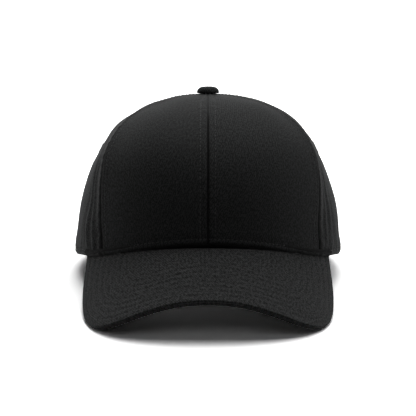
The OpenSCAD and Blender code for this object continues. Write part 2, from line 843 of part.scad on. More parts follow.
// A flat section bent round the strap: radial limits and limits along the strap
module bent_plate(low, high, from, to) {
    translate([0, -buckle_r])
        rotate(90 - to_deg(to, buckle_r))
            sector(buckle_r + low, buckle_r + high, to_deg(to - from, buckle_r));
}

module sector(inner, outer, angle) {
    difference() {
        intersection() {
            circle(outer, $fn = 360);
            polygon([[0, 0], 2*outer*[1, 0], 2*outer*[cos(angle/2), sin(angle/2)],
                     2*outer*[cos(angle), sin(angle)]]);
        }
        circle(inner, $fn = 360);
    }
}

// Drop of a bent plate below its middle at a distance along it
function bend_drop(x) = buckle_r - sqrt(buckle_r*buckle_r - x*x);

pin_at = [pin_x, pin_y - bend_drop(pin_x)];
bar_at = [bar_x, bar_y - bend_drop(bar_x)];

module cheek_outline() {
    ear_r = pin_d/2 + ear_wall;
    arm_r = bar_d/2 + bar_wall;
    foot_x = pin_x + ear_foot;
    arm_x = buckle_len/2 - bar_arm;
    difference() {
        union() {
            bent_plate(base_bottom, lever_under - cheek_gap, -buckle_len/2, buckle_len/2);
            translate(pin_at)
                circle(ear_r);
            polygon([pin_at - [ear_r, 0], pin_at + [ear_r, 0],
                     [foot_x, base_top - bend_drop(foot_x)],
                     [-buckle_len/2, base_top - bend_drop(buckle_len/2)]]);
            polygon([[arm_x, base_top], [arm_x, base_bottom],
                     bar_at - [arm_r/2, arm_r], bar_at - [0, arm_r],
                     bar_at + [arm_r, 0], bar_at + [0, arm_r]]);
            translate(bar_at)
                circle(arm_r);
        }
        translate(pin_at)
            circle(pin_d/2 + pin_fit);
    }
}

module buckle_frame() {
    color(brass)
        rest()
            at_buckle() {
                for (side = [-1, 1])
                    translate([0, 0, side*(inner_w + plate_t)/2 - plate_t/2])
                        linear_extrude(height = plate_t)
                            cheek_outline();
                translate([0, 0, -inner_w/2 - join])
                    linear_extrude(height = inner_w + 2*join)
                        bent_plate(base_bottom, base_top, -buckle_len/2, buckle_len/2);
                translate([bar_at.x, bar_at.y, -inner_w/2 - join])
                    cylinder(h = inner_w + 2*join, d = bar_d);
            }
}

module buckle_pin() {
    reach = frame_w/2 + head_gap;
    head_d = pin_d + 2*head_spread;
    color(steel)
        rest()
            at_buckle()
                translate([pin_at.x, pin_at.y, -reach - head_t]) {
                    cylinder(h = 2*(reach + head_t), d = pin_d);
                    cylinder(h = head_t, d = head_d);
                    translate([0, 0, 2*reach + head_t])
                        cylinder(h = head_t, d = head_d);
                }
}

// The lever is shown shut: its plate lies along the strap, its knuckle is round the pin
module buckle_lever() {
    lever_end = buckle_len/2 + lever_past;
    color(brass)
        rest()
            at_buckle()
                translate([0, 0, -lever_w/2])
                    difference() {
                        linear_extrude(height = lever_w)
                            union() {
                                bent_plate(lever_under, lever_under + plate_t, pin_x, lever_end);
                                translate(pin_at)
                                    circle(knuckle_r);
                                translate([lever_end, lever_under + plate_t/2 - bend_drop(lever_end)])
                                    circle(plate_t/2 + bead_spread);
                            }
                        translate([pin_at.x, pin_at.y, -lever_w/2])
                            cylinder(h = 2*lever_w, d = pin_d + 2*pin_gap);
                    }
}

// The tab is one strip folded round the bar and sewn under the edge of the arch
tab_fold = 5;
tab_tuck = 4;

module buckle_tab() {
    loop_r = bar_d/2 + loop_gap;
    top = -strap_t/2 - layer_gap;
    loop_end = bar_x + tab_fold;
    color(twill)
        rest() {
            at_buckle()
                translate([0, 0, -tab_w/2])
                    linear_extrude(height = tab_w)
                        difference() {
                            union() {
                                translate(bar_at)
                                    circle(loop_r + tab_t);
                                polygon([bar_at + [0, loop_r + tab_t],
                                         [loop_end, top - bend_drop(loop_end)],
                                         [loop_end, top - 2*tab_t - bend_drop(loop_end)],
                                         bar_at - [0, loop_r + tab_t]]);
                            }
                            translate(bar_at)
                                circle(loop_r);
                        }
            cone_band(buckle_offset + loop_end - 2*loop_gap, arch_half_w + binding_w + tab_tuck,
                      strap_t + layer_gap, 2*tab_t, tab_w);
        }
}

// ---------------------------------------------------------------- resting place

// The binding's foot is the rearmost thing that can stand on the floor
rear_contact = arch_pt(0, -binding_out, -binding_out);
under_face = visor_grid(visor_t, 0, under_lip);
lean = max([for (row = under_face, p = row) atan2(rear_contact.z - p.z, rear_contact.y - p.y)]);

function lean_pt(p) =
    let(y = p.y - rear_contact.y,
        z = p.z - rear_contact.z)
    [p.x, y*cos(lean) + z*sin(lean), z*cos(lean) - y*sin(lean)];

rear_ys = [for (h = [0:0.02:0.5]) lean_pt(crown_pt(rear_seam_rim + 30, h, 0)).y,
           for (h = [0.48:0.02:0.7]) lean_pt(crown_pt(180, h, 0)).y,
           lean_pt(arch_pt(90, 0, -binding_out)).y,
           lean_pt(buckle_pt([pin_at.x, pin_at.y + knuckle_r, frame_w/2])).y];
front_ys = [for (row = under_face, p = row) lean_pt(p).y];
shift_y = -(max(rear_ys) + min(front_ys))/2;

module rest() {
    translate([0, shift_y, 0])
        rotate([-lean, 0, 0])
            translate([0, -rear_contact.y, -rear_contact.z])
                children();
}

// ---------------------------------------------------------------- nodes

front_panel();  // front_panel_left
mirrored() front_panel();  // front_panel_right
side_panel();  // side_panel_left
mirrored() side_panel();  // side_panel_right
back_panel();  // back_panel_left
mirrored() back_panel();  // back_panel_right
buckram();  // buckram_left
mirrored() buckram();  // buckram_right
center_seam_tape();
seam_tape("front");  // front_seam_tape_left
mirrored() seam_tape("front");  // front_seam_tape_right
seam_tape("rear");  // rear_seam_tape_left
mirrored() seam_tape("rear");  // rear_seam_tape_right
sweatband();
visor_top_cover();
visor_board();
visor_under_cover();
button_cover();
button_core();
button_washer();
eyelet("side");  // eyelet_side_left
mirrored() eyelet("side");  // eyelet_side_right
eyelet("back");  // eyelet_back_left
mirrored() eyelet("back");  // eyelet_back_right
arch_binding();
strap();
buckle_tab();
buckle_frame();
buckle_pin();
buckle_lever();
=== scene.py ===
"""A structured six-panel baseball cap in black cotton twill, standing on a pale table.

Each piece is a surface worked out on a grid in the crown's own frame, in millimetres: the
centre of the head opening is its origin, z = 0 is the plane of the opening, and psi is the
angle round the crown from the centre of the front. CapForm.stand() then puts the points where
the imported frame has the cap. Left and right are the wearer's: the front faces -Y, and the
wearer's left is +X.
"""
import json
import logging
from dataclasses import dataclass, field
from enum import Enum

import bpy
import numpy as np
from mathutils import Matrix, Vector


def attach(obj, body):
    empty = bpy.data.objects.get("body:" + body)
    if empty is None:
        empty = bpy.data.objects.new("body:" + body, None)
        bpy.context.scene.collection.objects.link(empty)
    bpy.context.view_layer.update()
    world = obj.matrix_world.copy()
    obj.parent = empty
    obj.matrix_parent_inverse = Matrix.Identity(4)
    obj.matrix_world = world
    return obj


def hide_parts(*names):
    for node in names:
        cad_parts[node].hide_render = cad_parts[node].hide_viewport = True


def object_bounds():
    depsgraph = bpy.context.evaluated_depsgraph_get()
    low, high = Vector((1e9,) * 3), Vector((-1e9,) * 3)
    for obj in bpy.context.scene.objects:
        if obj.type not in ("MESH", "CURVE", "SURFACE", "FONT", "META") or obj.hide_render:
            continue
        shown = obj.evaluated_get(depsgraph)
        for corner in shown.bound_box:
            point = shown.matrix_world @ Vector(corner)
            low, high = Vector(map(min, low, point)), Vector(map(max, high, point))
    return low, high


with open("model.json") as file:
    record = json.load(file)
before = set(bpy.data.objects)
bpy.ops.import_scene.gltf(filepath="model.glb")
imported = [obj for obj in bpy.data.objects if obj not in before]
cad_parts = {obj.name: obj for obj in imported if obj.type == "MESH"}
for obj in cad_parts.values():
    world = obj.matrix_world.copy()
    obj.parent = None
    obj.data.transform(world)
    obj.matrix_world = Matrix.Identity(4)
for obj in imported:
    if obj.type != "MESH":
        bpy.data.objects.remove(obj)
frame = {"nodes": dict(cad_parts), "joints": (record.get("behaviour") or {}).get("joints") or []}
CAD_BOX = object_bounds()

LOG = logging.getLogger("cap")
MM = 0.001
CAD_NODES: dict[str, bpy.types.Object] = frame["nodes"]


# ------------------------------------------------------------------ small helpers


def mix(low: np.ndarray, high: np.ndarray, share: np.ndarray) -> np.ndarray:
    """The value a share of the way from low to high."""
    return low + (high - low) * share


def smooth(share: np.ndarray) -> np.ndarray:
    """Rises from 0 to 1 as share does, with level ends: 3 s^2 - 2 s^3 of the clipped share."""
    clipped = np.clip(share, 0.0, 1.0)
    return clipped * clipped * (3.0 - 2.0 * clipped)


def hump(x: np.ndarray, centre: np.ndarray, width: float) -> np.ndarray:
    """A bell of height 1 at centre: exp of minus the square of the distance over width."""
    return np.exp(-(((x - centre) / width) ** 2))


def unit(vectors: np.ndarray) -> np.ndarray:
    """The vectors, each divided by its length."""
    length = np.linalg.norm(vectors, axis=-1, keepdims=True)
    return vectors / np.maximum(length, 1e-12)


def ripple(x: np.ndarray, wave: float, seed: int, sines: int = 4) -> np.ndarray:
    """A wavy line with no fixed beat, of height about 1.

    It is the sum of a few sines whose lengths lie between 0.6 and 1.7 times wave, each with
    its own phase.

    Args:
        x: places along the line, in millimetres.
        wave: the middle length of a wave, in millimetres.
        seed: picks the lengths and phases.
        sines: how many sines are added.

    Returns:
        The height at each place.
    """
    rng = np.random.default_rng(seed)
    lengths = wave * rng.uniform(0.6, 1.7, sines)
    phases = rng.uniform(0.0, 2.0 * np.pi, sines)
    return np.sin(2.0 * np.pi * x[..., None] / lengths + phases).sum(-1) / np.sqrt(sines)


def dents(x: np.ndarray, y: np.ndarray, wave: float, seed: int, waves: int = 7) -> np.ndarray:
    """Soft unevenness of height about 1: plane waves that run in several directions.

    Args:
        x: places across the cloth, in millimetres.
        y: places along the cloth, in millimetres.
        wave: the middle length of a wave, in millimetres.
        seed: picks the lengths, directions and phases.
        waves: how many waves are added.

    Returns:
        The height at each place.
    """
    rng = np.random.default_rng(seed)
    turn = rng.uniform(0.0, np.pi, waves)
    length = wave * rng.uniform(0.7, 1.6, waves)
    phase = rng.uniform(0.0, 2.0 * np.pi, waves)
    along = x[..., None] * np.cos(turn) + y[..., None] * np.sin(turn)
    return np.sin(2.0 * np.pi * along / length + phase).sum(-1) / np.sqrt(waves)


def grid_normals(points: np.ndarray) -> np.ndarray:
    """Outward unit normals of a grid whose columns run to the left as seen from inside.

    Each is the cross product of the step to the next column and the step to the next row.
    """
    across = np.gradient(points, axis=1)
    up = np.gradient(points, axis=0)
    return unit(np.cross(across, up))


def lengths_along(points: np.ndarray, axis: int) -> np.ndarray:
    """Running length of the grid's lines along an axis, 0 at the first point."""
    steps = np.linalg.norm(np.diff(points, axis=axis), axis=-1)
    start = np.zeros_like(np.take(steps, [0], axis=axis))
    return np.concatenate([start, np.cumsum(steps, axis=axis)], axis=axis)


# ------------------------------------------------------------------ the cap's form


class Panel(Enum):
    """The three panels of one half of the crown."""

    FRONT = "front"
    SIDE = "side"
    BACK = "back"


class Side(Enum):
    """The wearer's sides."""

    LEFT = "left"
    RIGHT = "right"


@dataclass(frozen=True)
class SeamBow:
    """How a front seam leaves the straight: its greatest bow and its flare at the hem, in degrees.

    The bow is whole at the share peak, and goes again from the share fade up.
    """

    bow: float
    peak: float
    fade: float
    flare: float


@dataclass(frozen=True)
class CapForm:
    """The crown and visor surfaces that every piece lies on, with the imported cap's sizes.

    Lengths are in millimetres, angles in degrees. A share is a height over the crown's.
    """

    half_width: float = 90.5
    front_reach: float = 101.5
    back_reach: float = 98.0
    height: float = 107.5
    top_set_back: float = 1.6
    plan_power: float = 2.04
    plan_power_top: float = 2.42
    side_taper: float = 0.236
    side_power: float = 5.8
    front_taper: float = 0.05
    front_power: float = 4.1
    back_taper: float = 0.14
    back_power: float = 2.78
    side_puff: float = 2.7
    puff_top: float = 0.64
    front_seam_rim: float = 47.0
    front_seam_top: float = 72.5
    bow_left: SeamBow = SeamBow(6.8, 0.70, 0.76, 3.0)
    bow_right: SeamBow = SeamBow(10.8, 0.55, 0.70, -1.0)
    bow_power: float = 0.85
    bow_fade: float = 0.3
    flare_share: float = 0.25
    rear_seam_rim: float = 118.0
    rear_seam_top: float = 122.0
    stands_out: float = 0.5
    stands_in: float = 0.6
    corner: float = 4.2
    corner_front: float = 40.0
    corner_side: float = 20.0
    visor_reach: float = 67.0
    visor_bend_r: float = 110.6
    visor_slope: float = 24.6
    visor_arch: float = 15.9
    visor_end_angle: float = 59.3
    visor_end_out: float = 1.6
    visor_power: float = 4.6
    end_trim: float = 1.5
    visor_t: float = 3.4
    visor_ease: float = 2.2
    visor_ease_w: float = 68.0
    edge_swell: float = 0.6
    cover_lap: float = 0.6
    dip: float = 0.25
    middle_dip: float = 0.95
    dip_run: float = 3.6
    turn_up: float = 3.4
    rim_gap: float = 0.5
    rim_rise: float = 26.0
    rim_fade: float = 1.5
    arch_half_w: float = 45.0
    arch_h: float = 52.0
    strap_w: float = 20.0
    strap_t: float = 1.2
    strap_lift: float = 4.0
    strap_depth: float = 2.45
    panel_t: float = 0.9
    row_top: float = 0.977
    arch_lap: float = 5.5
    eyelet_height: float = 71.0

    # ---- crown

    def dome(self, reach: float, taper: float, power: float, share: np.ndarray) -> np.ndarray:
        """Reach of one profile: it narrows evenly by taper, and closes as sqrt(1 - share^power)."""
        return reach * (1.0 - taper * share) * np.sqrt(np.clip(1.0 - share**power, 0.0, None))

    def plan_radius(self, psi: np.ndarray, x: np.ndarray, y: np.ndarray, power: np.ndarray) -> np.ndarray:
        """Distance from the axis to a superellipse of half widths x and y, at angle psi."""
        turn = np.radians(psi)
        side = (np.abs(np.sin(turn)) / np.maximum(x, 1e-9)) ** power
        front = (np.abs(np.cos(turn)) / np.maximum(y, 1e-9)) ** power
        return (side + front) ** (-1.0 / power)

    def front_seam(self, share: np.ndarray, side: Side = Side.LEFT) -> np.ndarray:
        """Angle of the seam between the front and side panels.

        It bows towards the middle above the hem, and further on the wearer's right.
        """
        how = self.bow_right if side is Side.RIGHT else self.bow_left
        level = mix(self.front_seam_rim, self.front_seam_top, share)
        bowed = how.bow * np.clip(share / how.peak, 0.0, 1.0) ** self.bow_power
        bowed = bowed * (1.0 - smooth((share - how.fade) / self.bow_fade))
        return level - bowed + how.flare * (1.0 - smooth(share / self.flare_share))

    def rear_seam(self, share: np.ndarray) -> np.ndarray:
        """Angle of the seam between the side and back panels."""
        return mix(self.rear_seam_rim, self.rear_seam_top, share)

    def puff(self, psi: np.ndarray, share: np.ndarray) -> np.ndarray:
        """How far the side panels stand out: a parabola across times a half sine up."""
        start = self.front_seam(share)
        across = np.clip((np.abs(psi) - start) / (self.rear_seam_rim - start), 0.0, 1.0)
        rise = np.where(share < self.puff_top, np.sin(np.pi * share / self.puff_top), 0.0)
        return self.side_puff * 4.0 * across * (1.0 - across) * rise

    def radius(self, psi: np.ndarray, share: np.ndarray, depth: float = 0.0) -> np.ndarray:
        """Distance of the crown from its axis, for a layer at some depth below its face."""
        x = self.dome(self.half_width - depth, self.side_taper, self.side_power, share)
        front = self.dome(self.front_reach - depth, self.front_taper, self.front_power, share)
        back = self.dome(self.back_reach - depth, self.back_taper, self.back_power, share)
        y = np.where(np.cos(np.radians(psi)) > 0.0, front, back)
        power = mix(self.plan_power, self.plan_power_top, share)
        return self.plan_radius(psi, x, y, power) + self.puff(psi, share)

    def rim_plan(self, psi: np.ndarray, depth: float = 0.0) -> np.ndarray:
        """Plan position of the rim of a layer at some depth."""
        turn = np.radians(psi)
        reach = np.where(np.cos(turn) > 0.0, self.front_reach, self.back_reach) - depth
        r = self.plan_radius(psi, self.half_width - depth, reach, self.plan_power)
        return np.stack([r * np.sin(turn), -r * np.cos(turn)], -1)

    def rim_height(self, psi: np.ndarray, depth: float = 0.0) -> np.ndarray:
        """Height of the rim: it follows the visor in front, and falls to 0 behind it."""
        around = np.minimum(np.abs(psi), 360.0 - np.abs(psi))
        at = self.rim_plan(np.minimum(around, self.visor_end_angle), depth)
        on_visor = self.visor_top(at) + self.rim_gap
        return on_visor * (1.0 - smooth((around - self.visor_end_angle) / self.rim_rise))

    def point(self, psi: np.ndarray, share: np.ndarray, depth: float = 0.0) -> np.ndarray:
        """Points of the crown at angle psi and height share, at a depth below its face."""
        psi, share = np.broadcast_arrays(np.asarray(psi, float), np.asarray(share, float))
        r = self.radius(psi, share, depth)
        turn = np.radians(psi)
        z = self.rim_height(psi, depth) * (1.0 - share) ** self.rim_fade + (self.height - depth) * share
        return np.stack([r * np.sin(turn), -r * np.cos(turn) + self.top_set_back * share**2, z], -1)

    def normal(self, psi: np.ndarray, share: np.ndarray) -> np.ndarray:
        """Outward unit normal of the crown's face, from points half a degree apart."""
        across = self.point(psi + 0.5, share) - self.point(psi - 0.5, share)
        up = self.point(psi, share + 0.005) - self.point(psi, share - 0.005)
        return unit(np.cross(across, up))

    def share_of(self, t: np.ndarray) -> np.ndarray:
        """Height share of row t: rows crowd towards the top as 1 - (1 - t)^2."""
        return 1.0 - (1.0 - t) ** 2

    def back_angle(self, arc: np.ndarray, share: np.ndarray) -> np.ndarray:
        """Angle at an arc length from the centre of the back."""
        return 180.0 - np.degrees(arc / self.radius(180.0, share))

    def arch_point(self, turn: np.ndarray, beyond: np.ndarray, depth: np.ndarray) -> np.ndarray:
        """Points round the rear arch: an ellipse laid on the crown, grown by beyond."""
        share = np.maximum(0.0, (self.arch_h + beyond) * np.sin(np.radians(turn)) / self.height)
        psi = self.back_angle((self.arch_half_w + beyond) * np.cos(np.radians(turn)), share)
        return self.point(psi, share, depth)

    def top_share(self, at: np.ndarray, depth: float) -> np.ndarray:
        """Height share of a layer over plan positions near the top, found by halving."""
        low, high = np.full(at.shape[:-1], 0.5), np.ones(at.shape[:-1])
        for _ in range(24):
            share = (low + high) / 2.0
            y = at[..., 1] - self.top_set_back * share**2
            psi = np.degrees(np.arctan2(at[..., 0], -y))
            inside = self.radius(psi, share, depth) > np.hypot(at[..., 0], y)
            low, high = np.where(inside, share, low), np.where(inside, high, share)
        return (low + high) / 2.0

    def swell(self, side: Side, psi: np.ndarray, share: np.ndarray) -> np.ndarray:
        """Height of the finished crown over the even form, which the lining follows.

        The soft upper sides stand out on the left and in on the right. The stiffened front runs
        flat to its seams, so it turns a blunt corner there, which grows from the hem up: it rises
        towards the seam over the front panel, and falls away faster over the side panel.
        """
        rise = smooth((share - 0.55) / 0.2) * (1.0 - smooth((share - 0.94) / 0.05))
        around = smooth((psi - 20.0) / 30.0) * (1.0 - smooth((psi - 110.0) / 30.0))
        uneven = (self.stands_out if side is Side.LEFT else -self.stands_in) * rise * around
        seam = self.front_seam(share, side)
        away = np.radians(psi - seam) * self.radius(seam, share)
        before = np.clip(1.0 + away / self.corner_front, 0.0, 1.0) ** 2.2
        behind = np.clip(1.0 - away / self.corner_side, 0.0, 1.0) ** 2
        tall = np.clip(share / 0.6, 0.0, 1.0) * (1.0 - smooth((share - 0.62) / 0.33))
        return uneven + self.corner * tall * np.where(away < 0.0, before, behind)

    def hem_roll(self, psi: np.ndarray, rise: np.ndarray) -> np.ndarray:
        """How far the hem rolls inwards at the cap's sides, where no board or strap holds it."""
        around = np.minimum(np.abs(psi), 360.0 - np.abs(psi))
        sides = smooth((around - 55.0) / 14.0) * (1.0 - smooth((around - 112.0) / 20.0))
        return 0.9 * sides * (1.0 - smooth(rise / 5.5))

    def eyelet(self, panel: "Panel") -> tuple[np.ndarray, np.ndarray]:
        """Angle and height share of the eyelet, in the middle of a left panel."""
        share = np.array(self.eyelet_height / self.height)
        if panel is Panel.SIDE:
            return (self.front_seam(share) + self.rear_seam(share)) / 2.0, share
        return (self.rear_seam(share) + 180.0) / 2.0, share

    # ---- visor

    def visor_top(self, at: np.ndarray) -> np.ndarray:
        """Height of the visor's top face over a plan position."""
        slope = np.radians(self.visor_slope)
        drop = self.visor_bend_r - np.sqrt(np.maximum(0.0, self.visor_bend_r**2 - at[..., 0] ** 2))
        forward = self.forward(at, drop)
        return self.visor_arch - forward * np.sin(slope) - drop * np.cos(slope)

    def forward(self, at: np.ndarray, drop: np.ndarray) -> np.ndarray:
        """Distance forward of the crown, along the visor's slope, of a plan position."""
        slope = np.radians(self.visor_slope)
        return (-self.front_reach - at[..., 1] + drop * np.sin(slope)) / np.cos(slope)

    def to_pattern(self, at: np.ndarray) -> np.ndarray:
        """The visor's flat pattern position under a plan position: its bend rolled out."""
        turn = np.arcsin(np.clip(at[..., 0] / self.visor_bend_r, -1.0, 1.0))
        drop = self.visor_bend_r * (1.0 - np.cos(turn))
        return np.stack([turn * self.visor_bend_r, self.forward(at, drop)], -1)

    def eased(self, flat: np.ndarray) -> np.ndarray:
        """Share of the ease at a pattern position: all of it in the middle of the front edge."""
        across = 1.0 - smooth((np.abs(flat[..., 0]) - 12.0) / (self.visor_ease_w - 12.0))
        return across * np.clip(flat[..., 1] / self.visor_reach, 0.0, 1.1)

    def from_root(self, flat: np.ndarray) -> np.ndarray:
        """How far in front of the crown's hem a place on the visor's pattern lies."""
        root = self.root(np.linspace(0.0, 180.0, 181), 0.0)
        return flat[..., 1] - np.interp(flat[..., 0], root[::-1, 0], root[::-1, 1])

    def root_dip(self, flat: np.ndarray) -> np.ndarray:
        """How far the visor dips where it is sewn into the crown, most of all in the middle.

        Its allowance is turned up behind the crown's hem.
        """
        away = self.from_root(flat)
        across = np.abs(flat[..., 0])
        deep = (self.dip + self.middle_dip * hump(across, 0.0, 24.0)) * (1.0 - smooth((across - 32.0) / 18.0))
        return deep * (1.0 - smooth(away / self.dip_run)) - self.turn_up * smooth((-away - 0.5) / 1.6)

    def bend(self, flat: np.ndarray, depth: np.ndarray) -> np.ndarray:
        """Rolls a flat pattern position round the visor's cylinder, at a depth below its face.

        The board springs a little flatter towards the middle of its front edge, and the
        covers and their seam make it thicker there.
        """
        slope = np.radians(self.visor_slope)
        depth = depth + self.root_dip(flat)
        turn = flat[..., 0] / self.visor_bend_r
        eased = self.eased(flat)
        r = self.visor_bend_r - depth * (1.0 + self.edge_swell / self.visor_t * eased)
        drop = self.visor_bend_r - r * np.cos(turn)
        return np.stack([
            r * np.sin(turn),
            -self.front_reach - flat[..., 1] * np.cos(slope) + drop * np.sin(slope),
            self.visor_arch - flat[..., 1] * np.sin(slope) - drop * np.cos(slope) + self.visor_ease * eased,
        ], -1)

    @property
    def visor_end(self) -> np.ndarray:
        """Flat pattern position of the visor's end, where its edge meets the rim."""
        return self.to_pattern(self.rim_plan(np.array(self.visor_end_angle)))

    def outline_radius(self, turn: np.ndarray) -> np.ndarray:
        """Polar distance of the visor's edge from the middle of the line between its ends."""
        half = self.visor_end[0] + self.visor_end_out - self.cover_lap
        reach = self.visor_reach - self.visor_end[1] - self.cover_lap
        side = (np.abs(np.cos(np.radians(turn))) / half) ** self.visor_power
        front = (np.abs(np.sin(np.radians(turn))) / reach) ** self.visor_power
        from_end = 90.0 - np.abs(turn - 90.0)
        return (side + front) ** (-1.0 / self.visor_power) - self.end_trim * (1.0 - smooth(from_end / 26.0))

    def outline(self, turn: np.ndarray, out: np.ndarray) -> np.ndarray:
        """Flat pattern positions along the visor's edge, moved outwards by out."""
        r = self.outline_radius(turn) + out
        return np.stack([r * np.cos(np.radians(turn)), self.visor_end[1] + r * np.sin(np.radians(turn))], -1)

    def root(self, turn: np.ndarray, inset: float) -> np.ndarray:
        """Flat pattern positions along the visor's root, under the rim's layer at depth inset."""
        return self.to_pattern(self.rim_plan(self.visor_end_angle * (1.0 - turn / 90.0), inset))

    def edge_distance(self, flat: np.ndarray) -> np.ndarray:
        """How far inside the visor's edge a pattern position lies, towards the polar centre."""
        y = flat[..., 1] - self.visor_end[1]
        turn = np.degrees(np.arctan2(y, flat[..., 0]))
        return self.outline_radius(turn) - np.hypot(flat[..., 0], y)

    # ---- strap

    @property
    def strap_middle(self) -> float:
        """Height of the strap's middle above the plane of the opening."""
        return self.strap_lift + self.strap_w / 2.0

    def strap_cone(self) -> tuple[float, float, float]:
        """Radius, axis place and slope of the cone that the strap lies on.

        The circle goes through the crown's layer at the strap's depth, at the centre of the
        back and 40 degrees round from it, and the slope is the crown's between the strap's
        two edges.
        """
        level = self.strap_middle / self.height
        back = self.point(180.0, level, self.strap_depth)
        side = self.point(140.0, level, self.strap_depth)
        reach = back[1] - side[1]
        r = (side[0] ** 2 + reach**2) / 2.0 / reach
        axis_y = back[1] - r
        low = self.point(155.0, self.strap_lift / self.height, self.strap_depth)
        high = self.point(155.0, (self.strap_lift + self.strap_w) / self.height, self.strap_depth)
        narrowing = np.hypot(low[0], low[1] - axis_y) - np.hypot(high[0], high[1] - axis_y)
        return float(r), float(axis_y), float(np.arctan2(narrowing, self.strap_w))

    def strap_point(self, along: np.ndarray, across: np.ndarray, out: np.ndarray) -> np.ndarray:
        """Points on the strap's cone: arc length from the back, place across and height out."""
        r, axis_y, slope = self.strap_cone()
        along, across, out = np.broadcast_arrays(along, across, out)
        turn = np.pi / 2.0 + along / r
        reach = r + out * np.cos(slope) - across * np.sin(slope)
        z = self.strap_middle + out * np.sin(slope) + across * np.cos(slope)
        return np.stack([reach * np.cos(turn), axis_y + reach * np.sin(turn), z], -1)

    # ---- resting place

    def stand(self, points: np.ndarray) -> np.ndarray:
        """Moves points from the crown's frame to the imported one, still in millimetres.

        The strap's hinge axis is the crown's own upward direction, and the middle of the
        strap's cone lies on it, so the joint gives both the lean and the place.
        """
        hinge = next(j for j in frame["joints"] if j["name"] == "strap_slide")
        origin = np.array(hinge["pos_m"]) / MM
        _, sine, cosine = hinge["axis"]
        local = points - np.array([0.0, self.strap_cone()[1], self.strap_middle])
        y = local[..., 1] * cosine + local[..., 2] * sine
        z = local[..., 2] * cosine - local[..., 1] * sine
        return np.stack([local[..., 0], y, z], -1) + origin


FORM = CapForm()


# ------------------------------------------------------------------ meshes


def mirror(points: np.ndarray) -> np.ndarray:
    """A grid of points on the wearer's other side, its columns turned so that it faces out."""
    return points[:, ::-1] * np.array([-1.0, 1.0, 1.0])


@dataclass
class Surface:
    """A grid of points with its flat pattern: rows run up the cloth and columns across it."""

    points: np.ndarray
    flat: np.ndarray
    marks: dict[str, np.ndarray] = field(default_factory=dict)

    def turned(self) -> "Surface":
        """The same surface with its columns the other way round, so that it faces the other way."""
        marks = {name: mark[:, ::-1] for name, mark in self.marks.items()}
        return Surface(self.points[:, ::-1], self.flat[:, ::-1], marks)

    def mirrored(self) -> "Surface":
        """The same surface on the wearer's other side, still facing outwards."""
        over = self.turned()
        return Surface(mirror(self.points), over.flat * np.array([-1.0, 1.0]), over.marks)

    def normals(self) -> np.ndarray:
        """Outward unit normals."""
        return grid_normals(self.points)

    def area(self) -> float:
        """Area in square metres, but no more than its flat pattern's box has.

        A cell's area is half the cross product of its diagonals.
        """
        p = self.points
        one, two = p[1:, 1:] - p[:-1, :-1], p[1:, :-1] - p[:-1, 1:]
        width, height = self.size()
        return min(float(np.linalg.norm(np.cross(one, two), axis=-1).sum() / 2.0) * MM * MM, width * height)

    def size(self) -> tuple[float, float]:
        """Greatest width and height of the flat pattern, in metres."""
        span = np.ptp(self.flat.reshape(-1, 2), axis=0) * MM
        return float(span[0]), float(span[1])

    def contour(self, mark: str, level: float) -> tuple[np.ndarray, np.ndarray]:
        """Points and normals where a mark that grows up each column first reaches a level."""
        values = self.marks[mark]
        cols = np.arange(values.shape[1])
        row = np.clip((values < level).sum(0), 1, values.shape[0] - 1)
        low, high = values[row - 1, cols], values[row, cols]
        share = ((level - low) / np.maximum(high - low, 1e-9))[:, None]
        normals = self.normals()
        line = mix(self.points[row - 1, cols], self.points[row, cols], share)
        return line, unit(mix(normals[row - 1, cols], normals[row, cols], share))

    def column(self, index: int) -> tuple[np.ndarray, np.ndarray]:
        """Points and normals along one column."""
        return self.points[:, index], self.normals()[:, index]


def make_mesh(name: str, points: np.ndarray, faces: list[np.ndarray], flat: list[np.ndarray],
              marks: dict[str, np.ndarray] | None = None) -> bpy.types.Object:
    """Makes a smooth mesh object at the origin from arrays.

    Args:
        name: the piece's name.
        points: (n, 3) places in the crown's frame, in millimetres.
        faces: blocks of faces with the same number of corners, as indices into points.
        flat: for each block, the (faces, corners, 2) pattern positions, in millimetres.
        marks: numbers at the points, which finishes read as attributes.

    Returns:
        The object, linked to the scene.
    """
    mesh = bpy.data.meshes.new(name)
    mesh.vertices.add(len(points))
    mesh.vertices.foreach_set("co", (FORM.stand(points) * MM).astype(np.float32).ravel())
    corners = np.concatenate([block.ravel() for block in faces])
    sizes = np.concatenate([np.full(len(block), block.shape[1]) for block in faces])
    mesh.loops.add(len(corners))
    mesh.loops.foreach_set("vertex_index", corners.astype(np.int32))
    mesh.polygons.add(len(sizes))
    starts = np.concatenate([[0], np.cumsum(sizes)[:-1]])
    mesh.polygons.foreach_set("loop_start", starts.astype(np.int32))
    mesh.polygons.foreach_set("use_smooth", np.ones(len(sizes), bool))
    layer = mesh.uv_layers.new(name="UVMap")
    layer.data.foreach_set("uv", np.concatenate([block.ravel() for block in flat]).astype(np.float32))
    for key, values in (marks or {}).items():
        mesh.attributes.new(key, "FLOAT", "POINT").data.foreach_set("value", values.astype(np.float32))
    mesh.update(calc_edges=True)
    mesh.validate()
    piece = bpy.data.objects.new(name, mesh)
    bpy.context.scene.collection.objects.link(piece)
    return piece


def grid_cells(rows: int, cols: int, wrap_rows: bool, wrap_cols: bool) -> tuple[np.ndarray, np.ndarray]:
    """Corners of a grid's cells, and of the same cells in a grid that isn't joined round.

    A cell goes from its low corner to the next column, the next row and back.

    Args:
        rows: rows of points.
        cols: columns of points.
        wrap_rows: whether the last row joins the first.
        wrap_cols: whether the last column joins the first.

    Returns:
        (row, column) pairs of each cell's corners, joined round and not, as (cells, 4, 2).
    """
    i, j = np.meshgrid(np.arange(rows - 1 + wrap_rows), np.arange(cols - 1 + wrap_cols), indexing="ij")
    i, j = i.ravel(), j.ravel()
    open_cells = np.stack([
        np.stack([i, i, i + 1, i + 1], 1),
        np.stack([j, j + 1, j + 1, j], 1),
    ], -1)
    return open_cells % np.array([rows, cols]), open_cells


